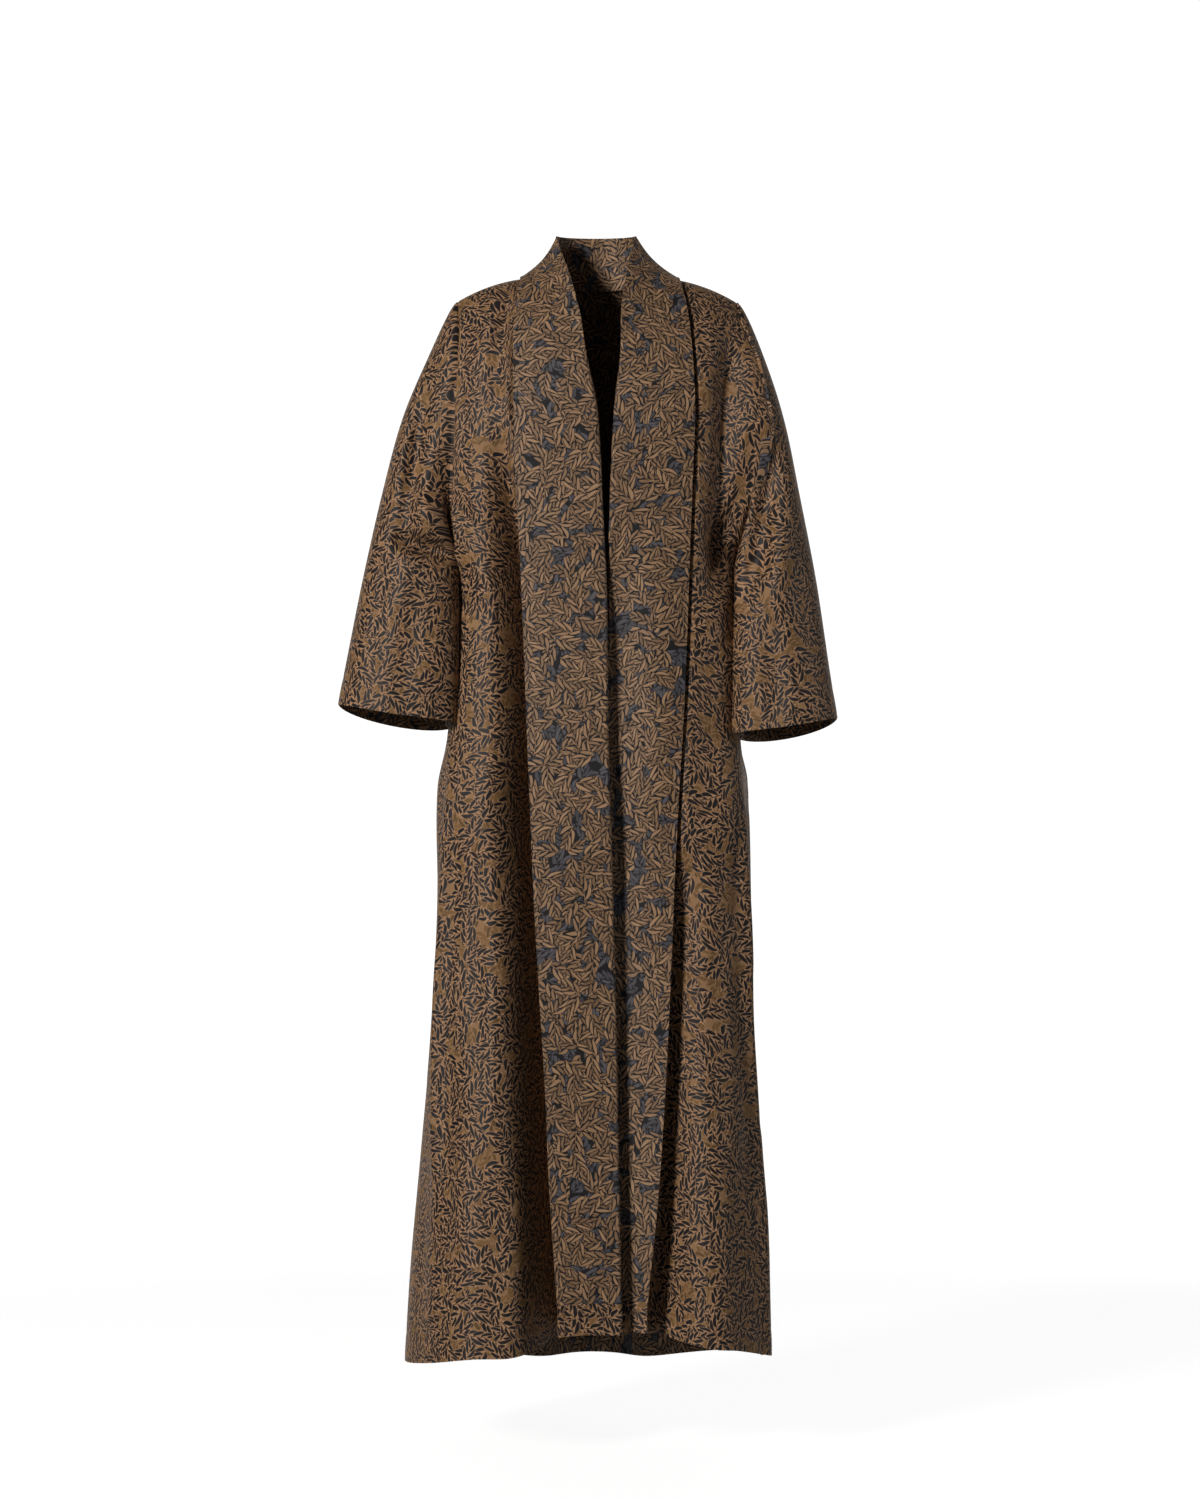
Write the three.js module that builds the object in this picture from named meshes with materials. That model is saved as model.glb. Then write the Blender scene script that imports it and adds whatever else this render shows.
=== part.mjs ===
// An open-front abaya in a leaf-figured jacquard, in the hollow form that it takes when worn.
// Millimetres, +Z up. The front faces -Y, and +X is the garment's own left.
// The origin is the middle of the shoulder line, where the garment is carried.
//
// Every cut piece is one thin wall. Its outer face is a grid of points on a hollow form, which a few
// tables of sections describe; its inner face is the same grid moved in by the cloth's thickness.

import * as THREE from "three";

// Cloth and seams
const CLOTH = 1.5; // thickness of a wall
const SEAM = 0.35; // each edge stands back this much from its seam
const COLLAR_SEAM = 0.9; // the collar's ends stand back from the lapels by this much
const SLEEVE_SEAM = 1.05; // between the bands of a sleeve, because its creases run across them
const LAP = 1.1; // air between a panel and what lies on it
const ARM_SEAM = 1.3; // the sleeve's head stands off its armhole by this much
const ARM_CLEAR = 4.6; // air between the body and the sleeve just beyond the armhole
const CUFF_CLEAR = 6.5; // and at the cuff
const HEM_TURN = 36; // height of a turned-up hem

// Main levels
const NECK_X = 74; // half width of the neckline at the shoulder
const NECK_Z = -8;
const TIP_X = 185; // where the shoulder seam ends and the sleeve begins
const TIP_DROP = 32; // the shoulder falls this much from neck to tip
const UNDERARM_Z = -380;
const SIDE_HEM_Z = -1432;

// Form of the shoulder, of a horizontal section and of its folds
const TOP_ROUND = 160; // drop over which the shoulder rounds from level to upright
const SECTION_POWER = 2.35; // 2 is an ellipse, more is squarer
const SEAM_FADE = 45; // folds die out over this drop towards the shoulder seam
const SIDE_FADE = 0.4; // and towards the side seam, once the form is this share of its full depth
const FOLD_FADE = 0.22; // share of a fold's length over which it rises or dies out

// Turns rows of numbers into objects that carry the column names.
const table = (columns, rows) =>
  rows.map((row) => Object.fromEntries(columns.map((name, i) => [name, row[i]])));

// Horizontal sections of the body of the garment, from the shoulder down to the hem: half widths to its
// right and left, where the armhole edge lies on each side, and depths in front and behind.
const BODY = table(
  ["z", "right", "left", "armRight", "armLeft", "front", "back"],
  [
    [-20, 192, 192, 185, 185, 88, 82],
    [-60, 199, 205, 182, 189, 92, 88],
    [-100, 203, 222, 181, 202, 96, 94],
    [-150, 204, 236, 181, 213, 102, 101],
    [-195, 204, 243, 181, 219, 106, 106],
    [-240, 203, 240, 181, 217, 109, 110],
    [-300, 198, 224, 182, 206, 112, 112],
    [-350, 192, 206, 186, 197, 115, 113],
    [-380, 188, 193, 188, 193, 116, 114],
    [-450, 187, 190, 187, 190, 119, 117],
    [-565, 188, 186, 188, 186, 124, 122],
    [-620, 192, 188, 192, 188, 127, 126],
    [-680, 206, 200, 206, 200, 131, 130],
    [-830, 208, 205, 208, 205, 139, 140],
    [-1000, 217, 205, 217, 205, 150, 153],
    [-1150, 230, 207, 230, 207, 163, 167],
    [-1300, 244, 215, 244, 215, 176, 181],
    [-1460, 253, 222, 253, 222, 188, 194],
  ],
);

// Inner edge of each front panel and the fold line of its lapel, keyed by the height of the panel's edge.
// Below the chest the two run together; round the neck the fold line climbs away as a collar.
// free is 1 where the lapel hangs clear of the panel and 0 where it lies on it.
const EDGE_COLUMNS = ["z", "panelX", "foldX", "foldY", "foldZ", "free"];
const EDGE_RIGHT = table(EDGE_COLUMNS, [
  [-8, -74, -50, 8, 53, 1],
  [-16, -67, -42, -22, 26, 1],
  [-34, -56, -33, -43, 1, 0.95],
  [-60, -42, -23, -66, -35, 0.8],
  [-110, -20, -9, -93, -98, 0.4],
  [-170, -3, 0, -108, -167, 0.1],
  [-230, 3, 6, -116, -230, 0],
  [-300, 6, 9, 0, -300, 0],
  [-430, 12, 15, 0, -430, 0],
  [-630, 14, 17, 0, -630, 0],
  [-830, 20, 23, 0, -830, 0],
  [-1090, 26, 29, 0, -1090, 0],
  [-1400, 32, 35, 0, -1400, 0],
]);
const EDGE_LEFT = table(EDGE_COLUMNS, [
  [-8, 74, 50, 8, 53, 1],
  [-16, 68, 43, -22, 26, 1],
  [-34, 60, 37, -43, 1, 0.95],
  [-60, 52, 31, -66, -35, 0.8],
  [-110, 38, 26, -93, -98, 0.4],
  [-170, 27, 23, -108, -167, 0.1],
  [-230, 23, 20, -116, -230, 0],
  [-300, 20, 17, 0, -300, 0],
  [-430, 17, 14, 0, -430, 0],
  [-630, 11, 8, 0, -630, 0],
  [-830, 6, 3, 0, -830, 0],
  [-1090, 2, -1, 0, -1090, 0],
  [-1400, -1, -4, 0, -1400, 0],
]);

// Outer, free edge of each lapel.
const LAPEL_RIGHT = table(
  ["z", "x"],
  [[-8, -99], [-77, -107], [-170, -107], [-280, -103], [-380, -98], [-565, -91], [-830, -80],
    [-960, -73], [-1090, -66], [-1225, -61], [-1400, -50]],
);
const LAPEL_LEFT = table(
  ["z", "x"],
  [[-8, 108], [-54, 118], [-106, 124], [-160, 127], [-215, 127], [-380, 121], [-565, 113], [-690, 108],
    [-920, 101], [-1020, 97], [-1147, 92], [-1270, 84], [-1400, 73]],
);

// Hem heights across each front: the lapel hangs short, the side longer.
const HEM_RIGHT = table(
  ["x", "z"],
  [[-253, -1432], [-200, -1420], [-150, -1410], [-105, -1408], [-78, -1400], [-50, -1382], [50, -1382]],
);
const HEM_LEFT = table(
  ["x", "z"],
  [[-10, -1382], [95, -1382], [118, -1391], [145, -1400], [175, -1405], [205, -1416], [229, -1432]],
);
const HEM_BACK = table(
  ["x", "z"],
  [[-253, -1432], [-140, -1450], [0, -1456], [130, -1450], [229, -1432]],
);

// Large folds. Each runs from its top to its bottom height; x is where it is seen from in front or behind,
// bow bends its line sideways, width is its half width, and out is how far it stands out (in if negative).
// A loose fold is one that the lapel over it does not follow.
const FOLD_COLUMNS = [
  "zTop", "zBottom", "xTop", "xBottom", "bow", "widthTop", "widthBottom", "outTop", "outBottom", "loose",
];
const FOLDS = {
  right: table(FOLD_COLUMNS, [
    [-300, -1500, -120, -55, 4, 17, 24, -28, -84, 1], // deep channel beside the lapel
    [-330, -1500, -166, -150, 0, 30, 46, 9, 24, 0], // round flare of the skirt
    [-640, -1200, -177, -203, 0, 9, 16, 11, 5, 0], // pressed ridge near the side
    [-60, -420, -186, -183, -3, 10, 9, 4, 15, 0], // ridge in front of the armhole
    [4, -190, -104, -132, -8, 9, 9, -4, -7, 1], // groove from the shoulder seam
    [-150, -420, -160, -164, 0, 12, 14, 2, 6, 0], // soft chest ridge
  ]),
  left: table(FOLD_COLUMNS, [
    [-700, -1500, 113, 96, 2, 14, 21, -14, -66, 1], // channel beside the lapel
    [-620, -1500, 150, 160, 0, 26, 40, 6, 22, 0], // round flare of the skirt
    [-230, -1500, 27, 24, 0, 24, 34, -14, -44, 0], // the under front falls back behind the upper one
    [-640, -1440, 183, 218, -4, 8, 9, 9, 11, 0], // pressed ridge at the side
    [-60, -330, 205, 205, 14, 12, 11, 4, 17, 0], // ridge in front of the armhole
    [-200, -360, 212, 183, 0, 8, 8, -7, -9, 0], // drag line from the underarm
    [-110, -420, 158, 156, 0, 10, 11, -5, -6, 0], // soft chest groove
  ]),
  back: table(FOLD_COLUMNS, [
    [-420, -1520, -128, -170, 0, 24, 34, 5, 26, 0],
    [-360, -1520, -58, -88, 0, 22, 30, -5, -30, 0],
    [-300, -1520, 2, -8, 0, 26, 36, 5, 26, 0],
    [-380, -1520, 62, 78, 0, 22, 30, -5, -30, 0],
    [-440, -1520, 124, 150, 0, 24, 34, 5, 24, 0],
    [-60, -400, -150, -118, 0, 16, 18, -6, -8, 0],
    [-60, -400, 160, 122, 0, 16, 18, -6, -8, 0],
  ]),
};

// Sleeve sections from the armhole to the cuff: the line along the outside of the arm, the line along the
// inside, and how far the sleeve reaches forward and back.
const SLEEVE_COLUMNS = ["t", "outX", "outZ", "inX", "inZ", "front", "back"];
const SLEEVES = {
  right: table(SLEEVE_COLUMNS, [
    [0, 186, -39, 189.5, -381, -58, 56],
    [0.08, 200, -60, 190, -388, -63, 60],
    [0.2, 224, -117, 191, -402, -69, 64],
    [0.38, 256, -197, 188, -430, -80, 62],
    [0.56, 281, -292, 186, -466, -91, 54],
    [0.75, 306, -405, 185, -514, -101, 44],
    [0.9, 327, -512, 185, -566, -105, 36],
    [1, 338, -571, 186, -597, -107, 30],
  ]),
  left: table(SLEEVE_COLUMNS, [
    [0, 186, -41, 195, -381, -56, 56],
    [0.08, 203, -62, 195, -388, -62, 60],
    [0.2, 224, -118, 194, -403, -69, 64],
    [0.38, 249, -202, 189, -433, -80, 62],
    [0.56, 268, -298, 187, -472, -91, 54],
    [0.75, 289, -410, 184, -524, -101, 44],
    [0.9, 306, -525, 183, -580, -105, 36],
    [1, 316, -589, 183, -611, -107, 30],
  ]),
};

// Large folds of the sleeves, seen from in front (side -1) or behind (side 1): a soft trough or ridge
// along the line from a to b.
const CREASE_COLUMNS = ["side", "ax", "az", "bx", "bz", "width", "out"];
const CREASES = {
  right: table(CREASE_COLUMNS, [
    [-1, 223, -140, 250, -352, 10, -13], // inside of the arm, down to the elbow
    [-1, 254, -358, 188, -378, 8, -17], // underarm fold
    [-1, 238, -300, 200, -345, 13, 8],
    [1, 226, -150, 244, -350, 14, -12],
    [1, 250, -362, 205, -388, 11, -12],
  ]),
  left: table(CREASE_COLUMNS, [
    [-1, 232, -240, 214, -375, 12, -12],
    [-1, 214, -375, 196, -430, 12, -10],
    [-1, 250, -330, 226, -440, 16, 6],
    [1, 222, -150, 238, -350, 14, -12],
    [1, 240, -362, 200, -388, 11, -12],
  ]),
};

// Collar round the back of the neck
const COLLAR = { foldY: 66, foldZ: 57, edgeY: 80, edgeDrop: 34, edgeRise: 1.5 };

// Grid counts
const COUNT = {
  panelOut: 17, // columns from the side to the lapel's edge
  panelIn: 6, // columns under the lapel
  skirtRows: 11,
  chestRows: 10,
  backColumns: 30,
  sleeveRing: 24,
  sleeveRows: 12,
  collarRows: 12,
};

// Bands of a panel and of a sleeve, and the row of points that each starts on.
const PANEL_BANDS = table(
  ["name", "row"],
  [["hem", 0], ["skirt", 5], ["waist", 9], ["chest", 12], ["shoulder", 17]],
);
const SLEEVE_BANDS = table(
  ["name", "row"],
  [["upper", 0], ["elbow", 5], ["cuff", 9]],
);

const { abs, cos, exp, hypot, max, min, PI, sign, sin, sqrt } = Math;
const clamp01 = (value) => min(1, max(0, value));
const mix = (a, b, share) => a + (b - a) * share;
const ease = (value) => clamp01(value) ** 2 * (3 - 2 * clamp01(value));
const point = (x, y, z) => new THREE.Vector3(x, y, z);

// Reads one column of a table at a place along another, on a smooth curve through the rows.
function read(rows, along, column, at) {
  const increasing = rows[rows.length - 1][along] > rows[0][along];
  const order = increasing ? rows : [...rows].reverse();
  const place = min(order[order.length - 1][along], max(order[0][along], at));
  let i = 0;
  while (i < order.length - 2 && order[i + 1][along] < place) i += 1;
  const slope = (k) => {
    const low = order[max(0, k - 1)];
    const high = order[min(order.length - 1, k + 1)];
    return (high[column] - low[column]) / (high[along] - low[along]);
  };
  const [from, to] = [order[i], order[i + 1]];
  const span = to[along] - from[along];
  const s = (place - from[along]) / span;
  const curve = new THREE.Vector4(
    2 * s ** 3 - 3 * s ** 2 + 1, s ** 3 - 2 * s ** 2 + s, -2 * s ** 3 + 3 * s ** 2, s ** 3 - s ** 2,
  );
  return curve.dot(new THREE.Vector4(from[column], slope(i) * span, to[column], slope(i + 1) * span));
}

// Height of the shoulder line over a place across the body.
const shoulderZ = (x) => NECK_Z - TIP_DROP * (max(0, abs(x) - NECK_X) / (TIP_X - NECK_X)) ** 2;

// Behind the neck the back rises higher than the shoulder line.
const NAPE_RISE = 25;
const NECKLINE_DIP = 7;
const neckArc = (x) => sqrt(max(0, 1 - (x / NECK_X) ** 2));
const backTopZ = (x) => shoulderZ(x) + NAPE_RISE * neckArc(x);
const backNecklineZ = (x) => shoulderZ(x) - NECKLINE_DIP * neckArc(x) ** 2;

// How far a fold stands out at a place on the body.
function foldOut(folds, x, z, withLoose) {
  let total = 0;
  for (const fold of folds) {
    if (fold.loose && !withLoose) continue;
    const s = (fold.zTop - z) / (fold.zTop - fold.zBottom);
    if (s <= 0 || s >= 1) continue;
    const centre = mix(fold.xTop, fold.xBottom, s) + fold.bow * sin(PI * s);
    const width = mix(fold.widthTop, fold.widthBottom, s);
    const end = fold.zBottom < SIDE_HEM_Z ? 1 : ease((1 - s) / FOLD_FADE);
    const fade = ease(s / FOLD_FADE) * end;
    total += mix(fold.outTop, fold.outBottom, s) * fade * exp(-0.5 * ((x - centre) / width) ** 2);
  }
  return total;
}

// Depth of a horizontal section in front (face -1) or behind (face 1), at a drop below the shoulder.
const depthAt = (face, drop, z) =>
  read(BODY, "z", face < 0 ? "front" : "back", z) * sqrt(max(0, 1 - (1 - clamp01(drop / TOP_ROUND)) ** 2));

// A point of the hollow form, in front or behind, at a place seen from in front.
function bodyPoint(face, folds, x, z, withLoose = true) {
  const half = read(BODY, "z", x < 0 ? "right" : "left", z);
  const drop = (face < 0 ? shoulderZ(x) : backTopZ(x)) - z;
  const depth = depthAt(face, drop, z);
  const across = min(1, abs(x) / half);
  const inward = (1 - across ** SECTION_POWER) ** (1 / SECTION_POWER);
  const normalX = (sign(x) * across ** (SECTION_POWER - 1)) / half;
  const normalY = (face * inward ** (SECTION_POWER - 1)) / max(depth, 1);
  const length = hypot(normalX, normalY);
  const out = foldOut(folds, x, z, withLoose) * ease(inward / SIDE_FADE) * ease(drop / SEAM_FADE);
  return point(x + (out * normalX) / length, face * depth * inward + (out * normalY) / length, z);
}

// Outward directions at every point of a grid of rows. closed joins each row's end to its start.
function gridNormals(rows, closed) {
  const last = rows.length - 1;
  const count = rows[0].length;
  return rows.map((row, i) =>
    row.map((_, j) => {
      const down = rows[max(0, i - 1)][j];
      const up = rows[min(last, i + 1)][j];
      const before = closed ? row[(j + count - 1) % count] : row[max(0, j - 1)];
      const after = closed ? row[(j + 1) % count] : row[min(count - 1, j + 1)];
      const across = after.clone().sub(before);
      return across.cross(up.clone().sub(down)).normalize();
    }),
  );
}

const moved = (rows, normals, distance) =>
  rows.map((row, i) => row.map((p, j) => p.clone().addScaledVector(normals[i][j], distance)));

// A closed wall between two grids of the same size: the outer face, the inner face, and the rims.
function wall(name, outer, inner, closed, material) {
  const rowCount = outer.length;
  const count = outer[0].length;
  const positions = [...outer.flat(), ...inner.flat()].flatMap((p) => [p.x, p.y, p.z]);
  const index = [];
  const at = (layer, i, j) => layer * rowCount * count + i * count + (j % count);
  const quad = (a, b, c, d) => index.push(a, b, c, a, c, d);
  const columns = closed ? count : count - 1;
  for (let i = 0; i < rowCount - 1; i += 1) {
    for (let j = 0; j < columns; j += 1) {
      quad(at(0, i, j), at(0, i, j + 1), at(0, i + 1, j + 1), at(0, i + 1, j));
      quad(at(1, i, j), at(1, i + 1, j), at(1, i + 1, j + 1), at(1, i, j + 1));
    }
  }
  for (let j = 0; j < columns; j += 1) {
    quad(at(1, 0, j), at(1, 0, j + 1), at(0, 0, j + 1), at(0, 0, j));
    const top = rowCount - 1;
    quad(at(0, top, j + 1), at(1, top, j + 1), at(1, top, j), at(0, top, j));
  }
  if (!closed) {
    const end = count - 1;
    for (let i = 0; i < rowCount - 1; i += 1) {
      quad(at(0, i, 0), at(0, i + 1, 0), at(1, i + 1, 0), at(1, i, 0));
      quad(at(1, i, end), at(1, i + 1, end), at(0, i + 1, end), at(0, i, end));
    }
  }
  const geometry = new THREE.BufferGeometry();
  geometry.setAttribute("position", new THREE.Float32BufferAttribute(positions, 3));
  geometry.setIndex(index);
  const mesh = new THREE.Mesh(geometry, material);
  mesh.name = name;
  return mesh;
}

// One open sheet of cloth: the grid is its outer face.
const sheet = (name, rows, material) =>
  wall(name, rows, moved(rows, gridNormals(rows, false), -CLOTH), false, material);

// Panels and sleeves are cut in one, and built as bands, so that each band is a simple shape. Where two
// bands meet, both faces of the wall stand back the same way.
function banded(name, outer, inner, closed, material, bands, gap) {
  const standBack = (grid, i, distance) =>
    grid[i].map((p, j) => {
      const along = outer[i + 1][j].clone().sub(outer[i - 1][j]).normalize();
      return p.clone().addScaledVector(along, distance);
    });
  return bands.map((band, k) => {
    const last = k + 1 === bands.length;
    const end = last ? outer.length - 1 : bands[k + 1].row;
    const [outside, inside] = [outer, inner].map((grid) => [
      k > 0 ? standBack(grid, band.row, gap / 2) : grid[0],
      ...grid.slice(band.row + 1, end),
      last ? grid[end] : standBack(grid, end, -gap / 2),
    ]);
    return wall(`${name}_${band.name}`, outside, inside, closed, material);
  });
}

// The bands of a panel. sideColumns are the columns that end at a side seam, where the inner face is kept
// level with the outer one.
function panelBands(name, rows, material, sideColumns) {
  const normals = gridNormals(rows, false);
  const level = (n) => n.setY(0).normalize();
  normals[normals.length - 1].forEach(level);
  for (const row of normals.slice(0, skirtShares.length)) sideColumns.forEach((j) => level(row[j]));
  return banded(name, rows, moved(rows, normals, -CLOTH), false, material, PANEL_BANDS, SEAM);
}

// Heights of a panel's rows as shares: 0 to 1 up the skirt, then 0 to 1 from the underarm to the shoulder.
const hemShare = HEM_TURN / (UNDERARM_Z - SIDE_HEM_Z);
const skirtShares = [0, hemShare];
for (let i = 1; i <= COUNT.skirtRows; i += 1) {
  skirtShares.push(mix(hemShare, 1, i / COUNT.skirtRows));
}
const chestShares = [];
for (let i = 1; i <= COUNT.chestRows; i += 1) chestShares.push(i / COUNT.chestRows);

// Height of a chest row over a place across the body: close together near the rounded shoulder.
const chestZ = (topZ, share) => topZ - (topZ - UNDERARM_Z) * (1 - share) ** 2;

// Finds the height where a row meets an edge whose x depends on height.
function meet(edgeX, topZ, share) {
  let z = UNDERARM_Z;
  for (let i = 0; i < 12; i += 1) z = chestZ(topZ(edgeX(z)), share);
  return z;
}

const MIRROR = { right: -1, left: 1 };

// The front panel of one side, and its lapel's rows, which share the columns that lie under the lapel.
const SIDE_CROWD = 1.5; // above 1, the panel's columns crowd towards the side seam
function frontRows(which) {
  const hand = MIRROR[which];
  const folds = FOLDS[which];
  const [edges, lapel, hem] =
    which === "right" ? [EDGE_RIGHT, LAPEL_RIGHT, HEM_RIGHT] : [EDGE_LEFT, LAPEL_LEFT, HEM_LEFT];
  const armColumn = which === "right" ? "armRight" : "armLeft";
  const armX = (z) => hand * read(BODY, "z", armColumn, z);
  const innerX = (z) => read(edges, "z", "panelX", z);
  const lapelX = (z) => read(lapel, "z", "x", z);
  const hemHalf = armX(SIDE_HEM_Z);
  const panel = [];
  const band = [];

  const addRow = (xSide, xLapel, xInner, heightAt) => {
    const row = [];
    for (let j = 0; j <= COUNT.panelOut; j += 1) {
      const x = mix(xSide, xLapel, (j / COUNT.panelOut) ** SIDE_CROWD);
      row.push(bodyPoint(-1, folds, x, heightAt(x)));
    }
    const under = [];
    for (let j = 0; j <= COUNT.panelIn; j += 1) {
      const x = mix(xLapel, xInner, j / COUNT.panelIn);
      if (j > 0) row.push(bodyPoint(-1, folds, x, heightAt(x)));
      under.push(bodyPoint(-1, folds, x, heightAt(x), false));
    }
    panel.push(row);
    band.push(under);
  };

  for (const share of skirtShares) {
    const level = mix(SIDE_HEM_Z, UNDERARM_Z, share);
    const widen = hemHalf / armX(level);
    const heightAt = (x) => mix(read(hem, "x", "z", x * widen), UNDERARM_Z, share);
    addRow(armX(level), lapelX(level), innerX(level), heightAt);
  }
  for (const share of chestShares) {
    const side = armX(meet(armX, shoulderZ, share));
    const outer = lapelX(meet(lapelX, shoulderZ, share));
    const inner = innerX(meet(innerX, shoulderZ, share));
    addRow(side, outer, inner, (x) => chestZ(shoulderZ(x), share));
  }
  return { panel, band, edges };
}

// Stands the edges of a panel back from its seams: the side or armhole at its start, the shoulder on top.
function easeSeams(rows, start, end) {
  rows.forEach((row) => {
    if (start) row[0].addScaledVector(row[1].clone().sub(row[0]).normalize(), SEAM);
    if (end) {
      const last = row.length - 1;
      row[last].addScaledVector(row[last - 1].clone().sub(row[last]).normalize(), SEAM);
    }
  });
  const top = rows.length - 1;
  rows[top].forEach((p, j) => p.addScaledVector(rows[top - 1][j].clone().sub(p).normalize(), SEAM));
}

// The cross-section of the lapel at one row: a flap inside the panel, the fold line, and the fall that lies
// on the panel. Round the neck the flap becomes the stand of a collar and the fall hangs from it.
const STAND_STEPS = 3;
const FLAP_WIDTH = 14;
const FLAP_OUT = 0.35; // the flap has left the panel once the lapel is this free
const FLAP_TUCK = 2; // and then stands this far inside the panel's edge
const FLAP_DROP = 5; // and this far below it at the neck
const FOLD_LIFT = 1.4; // the fold line climbs this much sooner than the lapel comes free
const FALL_LIFT = 1.2; // and its fall this much sooner
const FALL_SAG = 7;
const SAG_SHARE = 0.7; // share of the sag that goes sideways, and down
const ROLL_STEP = 0.6; // the fall's first step is this share of the others
function lapelSection(under, normals, edge, hand) {
  const count = under.length - 1;
  const onPanel = (j, out) => under[j].clone().addScaledVector(normals[j], out);
  const thick = LAP + CLOTH;
  const panelEdge = under[count];
  const out = normals[count];
  const inward = under[count - 1].clone().sub(panelEdge).normalize();
  const restingFold = panelEdge.clone()
    .addScaledVector(inward, -(LAP + CLOTH))
    .addScaledVector(out, -CLOTH / 2);
  const raisedFold = point(edge.foldX, edge.foldY, edge.foldZ);
  const fold = restingFold.clone().lerp(raisedFold, ease(edge.free * FOLD_LIFT));
  const flapEnd = panelEdge.clone()
    .addScaledVector(out, -(2 * CLOTH + LAP))
    .addScaledVector(inward, mix(FLAP_WIDTH, -FLAP_TUCK, ease(edge.free / FLAP_OUT)))
    .add(point(0, 0, -FLAP_DROP * edge.free));
  const turn = panelEdge.clone().addScaledVector(out, -(2 * CLOTH + LAP)).addScaledVector(inward, -LAP / 2);
  const section = [flapEnd];
  for (let k = 1; k < STAND_STEPS; k += 1) {
    const resting = flapEnd.clone().lerp(turn, k / (STAND_STEPS - 1));
    const standing = flapEnd.clone().lerp(fold, k / STAND_STEPS);
    section.push(resting.lerp(standing, ease((edge.free - FLAP_OUT) / (1 - FLAP_OUT))));
  }
  section.push(fold);
  const outer = onPanel(0, thick);
  for (let j = count; j >= 0; j -= 1) {
    const resting = onPanel(j, thick);
    const share = (count - j + ROLL_STEP) / (count + ROLL_STEP);
    const hanging = fold.clone().lerp(outer, share);
    const sag = FALL_SAG * sin(PI * share);
    hanging.add(point(-hand * sag * SAG_SHARE, 0, -sag * SAG_SHARE));
    const p = resting.lerp(hanging, ease(edge.free * FALL_LIFT));
    const short = thick + LAP - p.clone().sub(under[j]).dot(normals[j]);
    if (edge.free > 0 && short > 0) p.addScaledVector(normals[j], min(short, p.distanceTo(under[j])));
    section.push(p);
  }
  return section;
}

// Rows of the lapel from hem to shoulder, reading away from the opening.
function lapelRows(front, which) {
  const normals = gridNormals(front.band, false);
  const hand = MIRROR[which];
  const flip = hand > 0 ? -1 : 1;
  return front.band.map((under, i) => {
    const panelEdge = under[under.length - 1];
    const edge = {};
    for (const column of ["foldX", "foldY", "foldZ", "free"]) {
      edge[column] = read(front.edges, "z", column, panelEdge.z);
    }
    edge.free = clamp01(edge.free);
    const out = normals[i].map((n) => n.clone().multiplyScalar(flip));
    return lapelSection(under, out, edge, hand);
  });
}

// A grid read the other way along its rows, so that its outer face looks out.
const reversed = (rows) => rows.map((row) => [...row].reverse());

const BACK_CROWD = 0.75; // share by which the back's columns crowd towards its sides
function backRows() {
  const rows = [];
  const addRow = (xRight, xLeft, heightAt) => {
    const row = [];
    for (let j = 0; j <= COUNT.backColumns; j += 1) {
      const angle = PI * (j / COUNT.backColumns);
      const even = j / COUNT.backColumns;
      const x = mix(xLeft, xRight, mix(even, (1 - cos(angle)) / 2, BACK_CROWD));
      row.push(bodyPoint(1, FOLDS.back, x, heightAt(x)));
    }
    rows.push(row);
  };
  const armRight = (z) => -read(BODY, "z", "armRight", z);
  const armLeft = (z) => read(BODY, "z", "armLeft", z);
  const topZ = (x) => backNecklineZ(x);
  for (const share of skirtShares) {
    const level = mix(SIDE_HEM_Z, UNDERARM_Z, share);
    const widen = armLeft(SIDE_HEM_Z) / armLeft(level);
    const heightAt = (x) => mix(read(HEM_BACK, "x", "z", x * widen), UNDERARM_Z, share);
    addRow(armRight(level), armLeft(level), heightAt);
  }
  for (const share of chestShares) {
    const right = armRight(meet(armRight, topZ, share));
    const left = armLeft(meet(armLeft, topZ, share));
    addRow(right, left, (x) => chestZ(topZ(x), share));
  }
  return rows;
}

// How far a sleeve's crease moves its surface.
function creaseOut(creases, side, x, z) {
  let total = 0;
  for (const crease of creases) {
    if (sign(side) !== crease.side) continue;
    const [runX, runZ] = [crease.bx - crease.ax, crease.bz - crease.az];
    const along = ((x - crease.ax) * runX + (z - crease.az) * runZ) / (runX ** 2 + runZ ** 2);
    const near = clamp01(along);
    const away = hypot(x - crease.ax - near * runX, z - crease.az - near * runZ);
    total += crease.out * exp(-0.5 * (away / crease.width) ** 2);
  }
  return total;
}

// Moves a sleeve's point sideways where it would reach into the body panels. Beyond the armhole, beside is
// 1, the body is as wide there as its section is at the point's own depth.
function clearOfBody(p, which, gap, beside) {
  const hand = MIRROR[which];
  const z = min(p.z, shoulderZ(TIP_X) - 1);
  const face = p.y < 0 ? -1 : 1;
  const folds = face < 0 ? FOLDS[which] : FOLDS.back;
  const edge = read(BODY, "z", which === "right" ? "armRight" : "armLeft", z);
  const atEdge = abs(bodyPoint(face, folds, hand * edge, z).x);
  const depth = depthAt(face, shoulderZ(edge) - z, z);
  const share = min(1, abs(p.y) / max(depth, 1));
  const here = edge * (1 - share ** SECTION_POWER) ** (1 / SECTION_POWER);
  const atPoint = max(here, abs(bodyPoint(face, folds, hand * here, z).x));
  const short = mix(atEdge, atPoint, beside) + gap - hand * p.x;
  if (short > 0) p.x += hand * short;
  return p;
}

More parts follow.
